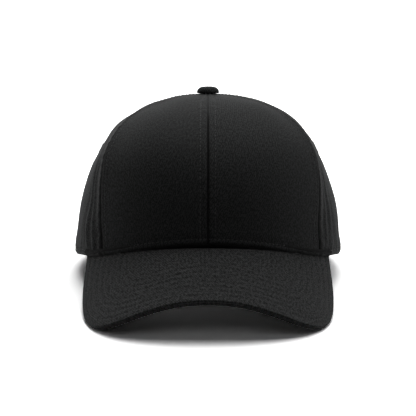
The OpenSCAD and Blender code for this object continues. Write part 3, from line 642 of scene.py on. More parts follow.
def tube(name: str, points: np.ndarray, flat: np.ndarray, caps: bool) -> bpy.types.Object:
    """A grid whose rows join round into a tube, with or without a cap at its two ends.

    Args:
        name: the piece's name.
        points: (rows, columns, 3) places, in millimetres.
        flat: (rows + 1, columns, 2) pattern positions, whose last row closes the tube.
        caps: closes the first and last column, else these join each other.

    Returns:
        The object.
    """
    rows, cols = points.shape[:2]
    joined, apart = grid_cells(rows, cols, True, not caps)
    ids = joined[..., 0] * cols + joined[..., 1]
    if not caps:
        flat = np.concatenate([flat, 2.0 * flat[:, -1:] - flat[:, -2:-1]], axis=1)
    blocks, patterns = [ids], [flat[apart[..., 0], apart[..., 1]]]
    if caps:
        ring = np.arange(rows)
        for col, order in ((0, ring), (cols - 1, ring[::-1])):
            blocks.append((order * cols + col)[None])
            patterns.append(flat[order, col][None])
    return make_mesh(name, points.reshape(-1, 3), blocks, patterns)


def hole_walls(hole: np.ndarray) -> np.ndarray:
    """Edges of the cells that are left round a hole, each run so that a wall can hang from it.

    Args:
        hole: (rows - 1, columns - 1) true for the cells that are cut out.

    Returns:
        (edges, 2, 2) row and column of each edge's start and end.
    """
    padded = np.pad(hole, 1)
    level = padded[1:, 1:-1].astype(int) - padded[:-1, 1:-1]
    upright = padded[1:-1, 1:].astype(int) - padded[1:-1, :-1]
    edges = []
    for change, step in ((level, (0, 1)), (upright, (1, 0))):
        for sign in (1, -1):
            start = np.argwhere(change == sign)
            pair = np.stack([start, start + step], 1)
            forwards = (sign == 1) == (step == (0, 1))
            edges.append(pair if forwards else pair[:, ::-1])
    return np.concatenate(edges)


def cloth(name: str, outer: Surface, inner: np.ndarray, turns: int = 3,
          hole: np.ndarray | None = None) -> bpy.types.Object:
    """A closed sheet between two grids, with round edges at its first and last rows.

    The ring of each column runs up the outer face, round the top edge as a half circle from
    face to face, down the inner face and round the bottom edge. The sides are flat strips.

    Args:
        name: the piece's name.
        outer: the outer face.
        inner: (rows, columns, 3) places of the inner face.
        turns: points round each edge.
        hole: (rows - 1, columns - 1) cells that are cut out, if any.

    Returns:
        The object.
    """
    face = outer.points
    rows, cols = face.shape[:2]
    angles = np.linspace(0.0, np.pi, turns + 2)[1:-1, None, None]

    def edge(at: np.ndarray, other: np.ndarray, before: np.ndarray) -> np.ndarray:
        """Half circle from one face to the other, standing out from the sheet's edge."""
        middle, half = (at + other) / 2.0, (at - other) / 2.0
        out = unit(at - before) * np.linalg.norm(half, axis=-1, keepdims=True)
        return middle + half * np.cos(angles) + out * np.sin(angles)

    top = edge(face[-1], inner[-1], face[-2])
    bottom = edge(inner[0], face[0], inner[1])
    points = np.concatenate([face, top, inner[::-1], bottom])
    step = np.array([0.0, 1.0])
    width = float(np.linalg.norm(face[-1] - inner[-1], axis=-1).mean())
    rise = np.arange(1, turns + 1)[:, None, None] * width / turns * step
    flat = np.concatenate([
        outer.flat, outer.flat[-1] + rise, outer.flat[::-1] + (width + 0.5) * step,
        outer.flat[0] - rise[::-1], outer.flat[:1],
    ])
    marks = {}
    for key, values in outer.marks.items():
        ends = [np.repeat(values[-1:], turns, 0), values[::-1], np.repeat(values[:1], turns, 0)]
        marks[key] = np.concatenate([values, *ends])
    joined, apart = grid_cells(len(points), cols, True, False)
    last = 2 * rows + turns - 1
    if hole is not None:
        kept = np.ones((len(points), cols - 1), bool)
        kept[:rows - 1] = ~hole
        kept[rows + turns:last] = ~hole[::-1]
        joined, apart = joined[kept.ravel()], apart[kept.ravel()]
    ids = joined[..., 0] * cols + joined[..., 1]
    blocks, patterns = [ids], [flat[apart[..., 0], apart[..., 1]]]
    if hole is not None:
        rim = hole_walls(hole)
        ring = np.concatenate([rim, rim[:, ::-1] * (-1, 1) + (last, 0)], 1)
        blocks.append(ring[..., 0] * cols + ring[..., 1])
        patterns.append(flat[ring[..., 0], ring[..., 1]])
    up = np.arange(rows - 1)
    for col, flip in ((0, False), (cols - 1, True)):
        strip = np.stack([up, up + 1, last - up - 1, last - up], 1)
        top_ring = np.arange(rows - 1, rows + turns + 1)[None]
        bottom_ring = np.concatenate([np.arange(last, last + turns + 1), [0]])[None]
        for block in (strip, top_ring, bottom_ring):
            order = block[:, ::-1] if flip else block
            blocks.append(order * cols + col)
            patterns.append(flat[order, col])
    merged = {key: values.ravel() for key, values in marks.items()}
    return make_mesh(name, points.reshape(-1, 3), blocks, patterns, merged)


# ------------------------------------------------------------------ stitches


@dataclass(frozen=True)
class Seam:
    """A line of stitches: where it runs, which way is out, and the length of its stitches."""

    line: np.ndarray
    normals: np.ndarray
    pitch: float = 3.2


@dataclass(frozen=True)
class Thread:
    """Sewing thread laid in stitches, each a short bow of thread that dips at both ends."""

    width: float = 0.5
    rise: float = 0.13
    sink: float = 0.25
    gap: float = 0.75
    rings: int = 5
    sides: int = 6

    def template(self, length: float) -> tuple[np.ndarray, np.ndarray]:
        """One stitch along x, with z out: a parabolic bow with an elliptical section.

        Args:
            length: distance between its two needle holes.

        Returns:
            Its points, and its faces as quads with a repeated corner at the pointed ends.
        """
        t = np.linspace(-1.0, 1.0, self.rings)
        centre = np.stack([t * length / 2.0, 0.0 * t, self.rise * (1.0 - t**2) - self.sink * t**2], 1)
        turn = np.arange(self.sides) * 2.0 * np.pi / self.sides
        fat = np.where(np.abs(t) == 1.0, 0.55, 1.0)
        ring = np.stack([0.0 * turn, np.cos(turn) * self.width / 2.0, np.sin(turn) * self.width * 0.4], 1)
        points = centre[:, None] + ring[None] * fat[:, None, None]
        joined, _ = grid_cells(self.sides, self.rings, True, False)
        faces = joined[..., 1] * self.sides + joined[..., 0]
        return points.reshape(-1, 3), faces[:, ::-1]

    def sew(self, name: str, seams: list[Seam]) -> bpy.types.Object:
        """Lays stitches along every seam and joins them to one piece.

        Each line is cut into stitches of its pitch by length. A stitch stands in the frame
        made of its own direction and the cloth's normal there.

        Args:
            name: the piece's name.
            seams: the lines.

        Returns:
            The object.
        """
        points, blocks, ends, total = [], [], [], 0
        for seam in seams:
            run = lengths_along(seam.line, 0)
            count = max(1, int(run[-1] / seam.pitch))
            spot = (np.arange(count) + 0.5) * run[-1] / count
            half = run[-1] / count * (1.0 - self.gap / seam.pitch) / 2.0
            at = [np.stack([np.interp(s, run, seam.line[:, k]) for k in range(3)], 1)
                  for s in (spot - half, spot, spot + half)]
            out = unit(np.stack([np.interp(spot, run, seam.normals[:, k]) for k in range(3)], 1))
            along = unit(at[2] - at[0])
            side = unit(np.cross(out, along))
            shape, faces = self.template(2.0 * half)
            placed = (at[1][:, None] + shape[None, :, :1] * along[:, None]
                      + shape[None, :, 1:2] * side[:, None] + shape[None, :, 2:] * out[:, None])
            offsets = total + np.arange(count)[:, None, None] * len(shape)
            blocks.append((faces[None] + offsets).reshape(-1, 4))
            tip = np.arange(self.sides)
            far = (self.rings - 1) * self.sides + tip
            ends.append(np.concatenate([tip[::-1][None] + offsets[:, 0], far[None] + offsets[:, 0]]))
            points.append(placed.reshape(-1, 3))
            total += count * len(shape)
        quads, caps = np.concatenate(blocks), np.concatenate(ends)
        flat = [np.zeros((*quads.shape, 2)), np.zeros((*caps.shape, 2))]
        return make_mesh(name, np.concatenate(points), [quads, caps], flat)


THREAD = Thread()


# ------------------------------------------------------------------ finishes


def linear(colour: str) -> tuple[float, float, float, float]:
    """Turns an sRGB hex colour to the linear one that shaders take."""
    values = np.array([int(colour[i:i + 2], 16) / 255.0 for i in (1, 3, 5)])
    low, high = values / 12.92, ((values + 0.055) / 1.055) ** 2.4
    return (*np.where(values <= 0.04045, low, high).tolist(), 1.0)


def add_node(tree: bpy.types.NodeTree, kind: str, settings: dict | None = None,
             inputs: dict | None = None) -> bpy.types.Node:
    """Adds a node with its settings and its inputs.

    Args:
        tree: the node tree.
        kind: the node's type.
        settings: its own properties by name.
        inputs: values or output sockets, by the name or number of the input.

    Returns:
        The node.
    """
    node = tree.nodes.new(kind)
    for key, value in (settings or {}).items():
        setattr(node, key, value)
    for key, value in (inputs or {}).items():
        if isinstance(value, bpy.types.NodeSocket):
            tree.links.new(value, node.inputs[key])
        else:
            node.inputs[key].default_value = value
    return node


def new_tree(name: str) -> tuple[bpy.types.Material, bpy.types.NodeTree]:
    """A new material and its empty node tree."""
    material = bpy.data.materials.new(name)
    material.use_nodes = True
    material.node_tree.nodes.clear()
    return material, material.node_tree


def wave_scale(spacing: float) -> float:
    """Scale at which the wave texture repeats every spacing units: its own period is 2 pi / 20."""
    return 2.0 * np.pi / 20.0 / spacing


@dataclass(frozen=True)
class WovenCloth:
    """Woven cotton: ribs or crossed threads, uneven yarns, and a soft fuzz that lights its edges."""

    name: str
    dark: str
    light: str
    rib: float
    rib_turn: float
    crossed: bool = False
    relief: float = 0.055
    slub: float = 2.2
    fleck: float = 0.95
    contrast: float = 1.0
    roughness: float = 0.92
    sheen: float = 0.2
    sheen_tint: str = "#8f9091"
    middle: float = 1.105
    spread: float = 0.235

    def material(self) -> bpy.types.Material:
        """Builds the material on the cloth's own flat pattern, in millimetres."""
        material, tree = new_tree(self.name)
        uv = add_node(tree, "ShaderNodeUVMap", {"uv_map": "UVMap"})
        turned = add_node(tree, "ShaderNodeMapping", {"vector_type": "POINT"}, {
            "Vector": uv.outputs["UV"], "Rotation": (0.0, 0.0, np.radians(self.rib_turn)),
        })
        ribs = add_node(tree, "ShaderNodeTexWave",
                        {"wave_type": "BANDS", "bands_direction": "X", "wave_profile": "SIN"}, {
            "Vector": turned.outputs["Vector"], "Scale": wave_scale(self.rib),
            "Distortion": 1.6, "Detail": 2.0, "Detail Scale": 1.4,
        })
        weave = ribs.outputs["Fac"]
        if self.crossed:
            across = add_node(tree, "ShaderNodeTexWave",
                              {"wave_type": "BANDS", "bands_direction": "Y", "wave_profile": "SIN"}, {
                "Vector": turned.outputs["Vector"], "Scale": wave_scale(self.rib),
                "Distortion": 1.0, "Detail": 1.0,
            })
            weave = add_node(tree, "ShaderNodeMath", {"operation": "MULTIPLY"},
                             {0: weave, 1: across.outputs["Fac"]}).outputs[0]
        # Yarns are thicker and thinner along their length, so the grain is drawn out upwards.
        drawn = add_node(tree, "ShaderNodeMapping", {"vector_type": "POINT"}, {
            "Vector": uv.outputs["UV"], "Scale": (1.0 / self.slub * 2.2, 1.0 / self.slub, 1.0),
        })
        slubs = add_node(tree, "ShaderNodeTexNoise", {"noise_dimensions": "2D"}, {
            "Vector": drawn.outputs["Vector"], "Scale": 1.0, "Detail": 3.0, "Roughness": 0.62,
        })
        # A fleck of paler fibres, about a millimetre across.
        flecks = add_node(tree, "ShaderNodeTexNoise", {"noise_dimensions": "2D"}, {
            "Vector": uv.outputs["UV"], "Scale": self.fleck, "Detail": 2.0, "Roughness": 0.7,
        })
        grain = add_node(tree, "ShaderNodeMath", {"operation": "MULTIPLY_ADD"},
                         {0: weave, 1: 0.18, 2: slubs.outputs["Fac"]})
        sum_up = add_node(tree, "ShaderNodeMath", {"operation": "ADD"},
                          {0: grain.outputs[0], 1: flecks.outputs["Fac"]})
        spread = add_node(tree, "ShaderNodeMapRange", {"interpolation_type": "SMOOTHSTEP"}, {
            "Value": sum_up.outputs[0], "To Min": 0.0, "To Max": 1.0,
            "From Min": self.middle - self.spread / self.contrast,
            "From Max": self.middle + self.spread / self.contrast,
        })
        colour = add_node(tree, "ShaderNodeMix", {"data_type": "RGBA"}, {
            "Factor": spread.outputs["Result"], 6: linear(self.dark), 7: linear(self.light),
        })
        # Painted shade: along the crease mark, in the seams and where the crown's hem meets the visor, the
        # colour is darkened almost to black.
        crease = add_node(tree, "ShaderNodeAttribute", {"attribute_name": "crease"})
        seam_shaded_colour = add_node(tree, "ShaderNodeMix", {"data_type": "RGBA"}, {
            "Factor": crease.outputs["Fac"], 6: colour.outputs[2], 7: (0.0004, 0.0004, 0.0004, 1.0),
        })
        # The same painted shade takes the sheen away along the crease mark.
        nap = add_node(tree, "ShaderNodeMath", {"operation": "MULTIPLY_ADD", "use_clamp": True},
                       {0: crease.outputs["Fac"], 1: -self.sheen, 2: self.sheen})
        height = add_node(tree, "ShaderNodeMath", {"operation": "MULTIPLY_ADD"},
                          {0: weave, 1: 0.5, 2: sum_up.outputs[0]})
        relief = add_node(tree, "ShaderNodeBump", None, {
            "Height": height.outputs[0], "Strength": 1.0, "Distance": self.relief * MM,
        })
        shader = add_node(tree, "ShaderNodeBsdfPrincipled", None, {
            "Base Color": seam_shaded_colour.outputs[2], "Roughness": self.roughness,
            "Specular IOR Level": 0.22, "Sheen Weight": nap.outputs[0], "Sheen Roughness": 0.45,
            "Sheen Tint": linear(self.sheen_tint), "Normal": relief.outputs["Normal"],
        })
        add_node(tree, "ShaderNodeOutputMaterial", None, {"Surface": shader.outputs["BSDF"]})
        return material


@dataclass(frozen=True)
class Spun:
    """Twisted polyester thread: smoother than cotton, so each stitch takes a small soft light."""

    name: str
    colour: str

    def material(self) -> bpy.types.Material:
        """Builds the material: fine noise in place of the twist, which is under 0.2 mm."""
        material, tree = new_tree(self.name)
        place = add_node(tree, "ShaderNodeTexCoord")
        fibres = add_node(tree, "ShaderNodeTexNoise", None, {
            "Vector": place.outputs["Object"], "Scale": 1.0 / (0.6 * MM), "Detail": 1.0,
        })
        relief = add_node(tree, "ShaderNodeBump", None,
                          {"Height": fibres.outputs["Fac"], "Strength": 0.6, "Distance": 0.05 * MM})
        shader = add_node(tree, "ShaderNodeBsdfPrincipled", None, {
            "Base Color": linear(self.colour), "Roughness": 0.55, "Specular IOR Level": 0.4,
            "Sheen Weight": 0.1, "Sheen Roughness": 0.4, "Normal": relief.outputs["Normal"],
        })
        add_node(tree, "ShaderNodeOutputMaterial", None, {"Surface": shader.outputs["BSDF"]})
        return material


@dataclass(frozen=True)
class Metal:
    """Plated sheet steel, barrel finished: fine scratches one way and soft broad highlights."""

    name: str
    colour: str
    roughness: float

    def material(self) -> bpy.types.Material:
        """Builds the material: noise drawn out along X scratches it, and stains vary its gloss."""
        material, tree = new_tree(self.name)
        place = add_node(tree, "ShaderNodeTexCoord")
        long, wide = 1.0 / (6.0 * MM), 1.0 / (0.4 * MM)
        drawn = add_node(tree, "ShaderNodeMapping", None,
                         {"Vector": place.outputs["Object"], "Scale": (long, wide, wide)})
        scratches = add_node(tree, "ShaderNodeTexNoise", None,
                             {"Vector": drawn.outputs["Vector"], "Scale": 1.0, "Detail": 4.0})
        stains = add_node(tree, "ShaderNodeTexNoise", None,
                          {"Vector": place.outputs["Object"], "Scale": 1.0 / (4.0 * MM), "Detail": 2.0})
        gloss = add_node(tree, "ShaderNodeMapRange", None, {
            "Value": stains.outputs["Fac"], "To Min": self.roughness - 0.07, "To Max": self.roughness + 0.1,
        })
        relief = add_node(tree, "ShaderNodeBump", None,
                          {"Height": scratches.outputs["Fac"], "Strength": 0.35, "Distance": 0.03 * MM})
        shader = add_node(tree, "ShaderNodeBsdfPrincipled", None, {
            "Base Color": linear(self.colour), "Metallic": 1.0, "Roughness": gloss.outputs["Result"],
            "Normal": relief.outputs["Normal"],
        })
        add_node(tree, "ShaderNodeOutputMaterial", None, {"Surface": shader.outputs["BSDF"]})
        return material


@dataclass(frozen=True)
class Polyethylene:
    """Die-cut polyethylene sheet: waxy and faintly pebbled from the rollers."""

    name: str = "polyethylene_sheet"
    colour: str = "#3c3d40"

    def material(self) -> bpy.types.Material:
        """Builds the material: shallow pebbles of about a millimetre."""
        material, tree = new_tree(self.name)
        place = add_node(tree, "ShaderNodeTexCoord")
        pebbles = add_node(tree, "ShaderNodeTexNoise", None,
                           {"Vector": place.outputs["Object"], "Scale": 1.0 / MM, "Detail": 2.0})
        relief = add_node(tree, "ShaderNodeBump", None,
                          {"Height": pebbles.outputs["Fac"], "Strength": 0.5, "Distance": 0.04 * MM})
        shader = add_node(tree, "ShaderNodeBsdfPrincipled", None, {
            "Base Color": linear(self.colour), "Roughness": 0.5, "IOR": 1.51,
            "Normal": relief.outputs["Normal"],
        })
        add_node(tree, "ShaderNodeOutputMaterial", None, {"Surface": shader.outputs["BSDF"]})
        return material


class Finish(Enum):
    """The finishes of the cap. Each is made once, when a piece first asks for it."""

    # Piece-dyed cotton twill: steep ribs, real ones 0.5 mm apart and drawn at 1.3 mm to show.
    TWILL = WovenCloth("black_cotton_twill", "#0d0e0e", "#303131", rib=1.3, rib_turn=27.0)
    # The same twill steamed tight over the visor board, which draws its flecks out and apart.
    TWILL_ON_BOARD = WovenCloth("black_cotton_twill_on_board", "#050505", "#343535", rib=1.3, rib_turn=27.0,
                                relief=0.12, slub=2.8, fleck=0.72, contrast=1.7)
    # Woven cotton tape: flat plain weave, threads 0.4 mm apart and drawn at 0.9 mm to show.
    TAPE = WovenCloth("black_cotton_tape", "#121315", "#28292b", rib=0.9, rib_turn=0.0, crossed=True,
                      relief=0.07, slub=1.4)
    # Brushed cotton for the sweatband: a raised nap hides the weave.
    NAP = WovenCloth("brushed_cotton_sweatband", "#131416", "#2a2b2e", rib=1.1, rib_turn=0.0, crossed=True,
                     relief=0.06, slub=1.8, roughness=0.97, sheen=0.3)
    # Sized buckram: an open, stiff plain weave, holes about 1.2 mm apart.
    BUCKRAM = WovenCloth("charcoal_buckram", "#0f0f11", "#38393b", rib=1.25, rib_turn=0.0, crossed=True,
                         relief=0.22, slub=3.0, roughness=0.7, sheen=0.0)
    # Polyester core-spun sewing thread, a shade paler than the cloth because it is smooth.
    THREAD = Spun("black_sewing_thread", "#171818")
    # Dark nickel over pressed steel: a grey metal with soft highlights.
    NICKEL = Metal("dark_nickel_plate", "#6b6a68", 0.34)
    # Zinc-plated steel for the rivet parts of the button and the hinge pin.
    ZINC = Metal("zinc_plated_steel", "#a6a8aa", 0.38)
    POLYETHYLENE = Polyethylene()

    def material(self) -> bpy.types.Material:
        """The finish's material, made at its first use."""
        return bpy.data.materials.get(self.value.name) or self.value.material()


class Body(Enum):
    """The bodies that pieces ride on, with their names in the frame."""

    CROWN = "crown"
    STRAP = "strap"


class Slot(Enum):
    """The record's material slots that pieces take their finish from."""

    TWILL = "cotton_twill"
    BUCKRAM = "buckram"
    TAPE = "seam_tape"
    BAND = "sweatband"
    BOARD = "visor_board"


def fit(piece: bpy.types.Object, finish: Finish, body: Body = Body.CROWN,
        replaces: tuple[str, ...] = ()) -> bpy.types.Object:
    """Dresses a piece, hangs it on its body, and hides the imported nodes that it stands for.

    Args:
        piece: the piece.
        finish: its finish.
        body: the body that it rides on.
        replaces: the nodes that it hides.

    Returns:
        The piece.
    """
    piece.data.materials.append(finish.material())
    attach(piece, body.value)
    if replaces:
        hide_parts(*replaces)
    LOG.info("%s: %d faces on %s", piece.name, len(piece.data.polygons), body.value)
    return piece


def stitch(name: str, seams: list[Seam], body: Body = Body.CROWN) -> None:
    """Sews seams in black thread, as one piece of that name."""
    fit(THREAD.sew(name, seams), Finish.THREAD, body)


def dress_node(name: str, finish: Finish) -> None:
    """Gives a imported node, whose shape is right as it is, its finish."""
    for slot in CAD_NODES[name].material_slots:
        slot.material = finish.material()
    LOG.info("%s: kept, dressed in %s", name, finish.value.name)


# ------------------------------------------------------------------ crown


@dataclass(frozen=True)
class Edge:
    """How a panel's edge rolls into its seam: how deep, over what width, and how far the painted shade
    reaches from it.
    """

    dip: float
    roll: float
    shade: float

    def depth(self, distance: np.ndarray) -> np.ndarray:
        """Depth at a distance from the edge: a quarter ellipse, upright at the edge itself."""
        inside = np.clip(1.0 - distance / self.roll, 0.0, 1.0)
        return self.dip * (1.0 - np.sqrt(1.0 - inside**2))


@dataclass(frozen=True)
class Creases:
    """How uneven a panel's cloth is: millimetres of height for each kind of crease."""

    dents: float
    seam_puckers: float
    rim_puckers: float
    folds: float


@dataclass
class Crown:
    """Six panels of twill, seamed, topstitched on both sides of each seam, with a folded hem."""

    seam_gap: float = 0.4
    topstitch: float = 4.6
    hem_stitch: float = 3.3
    allowance: float = 0.32
    groove: float = 0.24
    groove_w: float = 0.7
    hem_h: float = 9.0
    hole_r: float = 3.3
    lift: float = 0.42
    centre_lift: float = 0.45
    hem_step: float = 0.22
    hem_curl: float = 0.3
    hem_ridge: float = 0.5
    front_centre: Edge = Edge(1.5, 1.5, 0.55)
    back_centre: Edge = Edge(1.5, 1.5, 0.5)
    front_edge: Edge = Edge(1.2, 1.3, 2.0)
    valley: Edge = Edge(2.7, 4.2, 3.0)
    rear_seam: Edge = Edge(1.8, 2.2, 0.8)
    seams: list[Seam] = field(default_factory=list)

    def creases(self, panel: Panel, side: Side) -> Creases:
        """The stiffened front is smooth; the soft panels are not, most on the wearer's right."""
        if panel is Panel.FRONT:
            return Creases(0.14, 0.07, 0.10, 0.0)
        if panel is Panel.SIDE:
            return Creases(0.55, 0.16, 0.40, 0.9 if side is Side.RIGHT else 0.6)
        return Creases(0.7, 0.16, 0.3, 0.0)

    def seam_edges(self, panel: Panel) -> tuple[Edge, Edge]:
        """The panel's edge nearer the front and its edge nearer the back."""
        if panel is Panel.FRONT:
            return self.front_centre, self.front_edge
        return (self.valley, self.rear_seam) if panel is Panel.SIDE else (self.rear_seam, self.back_centre)

    def heights(self, panel: Panel) -> np.ndarray:
        """Height shares of the rows: closer at the hem, and round the arch with its curve."""
        if panel is not Panel.BACK:
            hem = np.linspace(0.0, 0.06, 15)
            rest = np.linspace(0.06, FORM.row_top, 112)[1:]
            return FORM.share_of(np.concatenate([hem, rest]))
        arch = FORM.arch_h / FORM.height
        below = arch * np.sin(np.linspace(0.0, np.pi / 2.0, 62))
        above = np.linspace(1.0 - np.sqrt(1.0 - arch), FORM.row_top, 72)[1:]
        return np.concatenate([below, FORM.share_of(above)])

    def edges(self, panel: Panel, side: Side, share: np.ndarray) -> tuple[np.ndarray, np.ndarray]:
        """Angles of the panel's two edges at each height."""
        if panel is Panel.FRONT:
            return 0.0 * share, FORM.front_seam(share, side)
        if panel is Panel.SIDE:
            return FORM.front_seam(share, side), FORM.rear_seam(share)
        level = np.clip(1.0 - (share * FORM.height / FORM.arch_h) ** 2, 0.0, None)
        return FORM.rear_seam(share), FORM.back_angle(FORM.arch_half_w * np.sqrt(level), share)

    def columns(self, width: np.ndarray) -> np.ndarray:
        """Distances of the columns from the low edge, for rows of some widths.

        They crowd at the two edges, at fixed distances that shrink only where the panel is
        narrow, and are even between.
        """
        near = np.array([0.0, 0.2, 0.5, 0.9, 1.4, 2.0, 2.7, 3.4, 4.1, self.topstitch, 5.1, 5.8, 6.8])
        scale = np.clip(width / 42.0, 0.0, 1.0)[:, None]
        low = near * scale
        high = width[:, None] - near[::-1] * scale
        middle = mix(low[:, -1:], high[:, :1], np.linspace(0.0, 1.0, 66)[None, 1:-1])
        return np.concatenate([low, middle, high], axis=1)

    def seam_relief(self, distance: np.ndarray, scale: np.ndarray) -> np.ndarray:
        """Height beside a seam: the allowance beneath lifts the cloth as far as its stitches.

        Args:
            distance: distance from the seam, in millimetres.
            scale: how far the seam's zone has shrunk where the panel is narrow.

        Returns:
            A level shelf between the seam and the stitches, with a groove at the stitches.
        """
        at = distance / np.maximum(scale, 0.05)
        shelf = smooth(at / 1.8) * (1.0 - smooth((at - self.topstitch - 0.3) / 1.8))
        return scale * (self.allowance * shelf - self.groove * hump(at, self.topstitch, self.groove_w))

    def relief(self, panel: Panel, side: Side, low: np.ndarray, high: np.ndarray,
               rise: np.ndarray, width: np.ndarray) -> np.ndarray:
        """Height of the cloth over the smooth crown.

        Args:
            panel: which panel.
            side: which half of the crown.
            low: distance from the edge nearer the front.
            high: distance from the edge nearer the back.
            rise: distance above the rim.
            width: the panel's width at each row.

        Returns:
            Shelves and grooves at the seams and the hem, puckers that run out of them, soft
            dents between, and the folds that stand beside the front seam.
        """
        how = self.creases(panel, side)
        seed = 10 * list(Panel).index(panel) + 100 * list(Side).index(side)
        scale = np.clip(width / 42.0, 0.0, 1.0)
        height = self.seam_relief(low, scale)
        sewn_back = smooth((rise - FORM.arch_h - 12.0) / 6.0) if panel is Panel.BACK else 1.0
        height += self.seam_relief(high, scale) * sewn_back
        for edge, offset in ((low, 1), (high, 2)):
            reach = smooth(edge / 2.5) * np.exp(-np.maximum(edge - 3.0, 0.0) / 6.0)
            height += how.seam_puckers * scale * reach * ripple(rise + 0.5 * edge, 7.0, seed + offset)
        hem = 1.0 - smooth((rise - self.hem_h) / 2.5)
        height += self.hem_step * hem - self.hem_curl * (1.0 - smooth(rise / 1.2))
        height += self.hem_ridge * hump(rise, 1.7, 1.2)
        height -= self.groove * hump(rise, self.hem_stitch, self.groove_w)
        fade = np.exp(-rise / 16.0) * smooth(rise / 3.0)
        height += how.rim_puckers * fade * ripple(low + 0.25 * rise, 9.0, seed + 3)
        inside = smooth(low / 14.0) * smooth(high / 14.0) * smooth(rise / 12.0) * scale
        height += how.dents * inside * dents(low, rise, 46.0, seed + 4)
        if how.folds:
            stretch = smooth(rise / 8.0) * (1.0 - smooth((rise - 55.0) / 35.0))
            for place, tall in ((11.0, 1.0), (18.5, 0.7)):
                line = place + 0.9 * ripple(rise, 40.0, seed + int(place)) + 0.03 * rise
                fold = hump(low, line, 1.7) - 0.45 * hump(low, line + 3.2, 1.8)
                height += how.folds * tall * stretch * fold
            gather = np.exp(-rise / 11.0) * smooth(rise / 2.5) * hump(low, 11.0, 9.0)
            height += 0.6 * how.folds * gather * ripple(low - 0.35 * rise, 5.0, seed + 8)
        return height

    def face(self, panel: Panel, side: Side) -> tuple[Surface, np.ndarray]:
        """Outer face and inner places of one panel, on the wearer's left."""
        share = self.heights(panel)
        start, end = self.edges(panel, side, share)
        r = FORM.radius((start + end) / 2.0, share)
        closing = 1.0 - 0.65 * smooth((share - 0.84) / 0.1)
        gap = self.seam_gap * closing
        width = np.radians(end - start) * r - gap
        low = self.columns(width)
        high = width[:, None] - low
        psi = start[:, None] + np.degrees((gap[:, None] / 2.0 + low) / r[:, None])
        level = np.broadcast_to(share[:, None], psi.shape)
        base = Surface(FORM.point(psi, level), np.zeros((*psi.shape, 2)))
        rise = lengths_along(base.points, 0)
        middle = np.broadcast_to(rise[:, rise.shape[1] // 2, None], rise.shape)
        normals = FORM.normal(psi, np.clip(level, 0.006, 0.994))
        height = self.relief(panel, side, low, high, rise, width[:, None])
        if panel is not Panel.FRONT:
            height *= smooth((self.from_eyelet(panel, base.points) - 5.0) / 9.0)
        rolled, crease = self.creased(panel, level, low, high)
        # Every seam is half as deep at the hem, where it is held flat.
        rolled *= closing[:, None] * (0.5 + 0.5 * smooth(rise / 7.0))
        height += FORM.swell(side, psi, level) - rolled - FORM.hem_roll(psi, rise)
        # Painted shade along the crease mark: the seams, and the hem's lowest millimetre over the visor.
        over_visor = 1.0 - smooth((psi - FORM.visor_end_angle) / 8.0)
        crease = np.maximum(crease * closing[:, None], hump(rise, 0.0, 0.9) * over_visor)
        under = 1.0 - smooth((psi - 18.0) / 18.0)
        lift = (self.lift + self.centre_lift * hump(psi, 0.0, 13.0)) * under * (1.0 - smooth(rise / 14.0))
        moved = normals * height[..., None] + lift[..., None] * np.array([0.0, 0.0, 1.0])
        flat = np.stack([low - width[:, None] / 2.0, middle], -1)
        outer = Surface(base.points + moved, flat, {"rim_mm": rise, "crease": crease})
        return outer, FORM.point(psi, level, FORM.panel_t) + moved

    def creased(self, panel: Panel, level: np.ndarray, low: np.ndarray,
                high: np.ndarray) -> tuple[np.ndarray, np.ndarray]:
        """How deep the cloth rolls into its seams, and how much painted shade it gets there, from 0 to 1.

        The seam down the middle of the front is shallower high up, and the one down the middle
        of the back starts above the arch.

        Args:
            panel: which panel.
            level: height shares.
            low: distance from the edge nearer the front.
            high: distance from the edge nearer the back.

        Returns:
            The depth and the painted shade.
        """
        near, far = self.seam_edges(panel)
        eased = 1.0 - 0.7 * smooth((level - 0.6) / 0.16) if panel is Panel.FRONT else 1.0
        sewn = smooth((level * FORM.height - FORM.arch_h - 5.0) / 5.0) if panel is Panel.BACK else 1.0
        rolled = near.depth(low) * eased + far.depth(high) * sewn
        return rolled, np.maximum(hump(low, 0.0, near.shade), hump(high, 0.0, far.shade) * sewn)

    def from_eyelet(self, panel: Panel, points: np.ndarray) -> np.ndarray:
        """Distance of points on a left panel from the middle of its eyelet."""
        return np.linalg.norm(points - FORM.point(*FORM.eyelet(panel)), axis=-1)

    def hole(self, panel: Panel, points: np.ndarray) -> np.ndarray | None:
        """Cells that are cut out for the eyelet; its ring hides their uneven edge."""
        if panel is Panel.FRONT:
            return None
        middles = (points[1:, 1:] + points[:-1, :-1]) / 2.0
        return self.from_eyelet(panel, middles) < self.hole_r

    def collect_seams(self, panel: Panel, outer: Surface) -> None:
        """Adds the panel's topstitch and hem lines, where its cloth shows."""
        near = 9
        for index in (near, outer.points.shape[1] - 1 - near):
            line, normals = outer.column(index)
            away = np.hypot(line[:, 0], line[:, 1] - FORM.top_set_back) > 8.5
            rise = outer.marks["rim_mm"][:, index]
            keep = away & (rise > 1.0)
            if panel is Panel.BACK and index != near:
                keep &= rise > FORM.arch_h + 14.0
            self.seams.append(Seam(line[keep], normals[keep], 2.8))
        line, normals = outer.contour("rim_mm", self.hem_stitch)
        stop = 8 if panel is Panel.BACK else 1
        self.seams.append(Seam(line[1:-stop], normals[1:-stop], 2.8))

    def build(self) -> None:
        """Makes the six panels and their stitching."""
        for side in Side:
            for panel in Panel:
                outer, inner = self.face(panel, side)
                hole = self.hole(panel, outer.points)
                if side is Side.RIGHT:
                    outer, inner = outer.mirrored(), mirror(inner)
                    hole = None if hole is None else hole[:, ::-1]
                piece = cloth(f"{panel.value}_panel_cloth_{side.value}", outer, inner, hole=hole)
                fit(piece, Finish.TWILL, replaces=(f"{panel.value}_panel_{side.value}",))
                outer.size()
                outer.area()
                self.collect_seams(panel, outer)
        stitch("crown_topstitching", self.seams)


# ------------------------------------------------------------------ visor


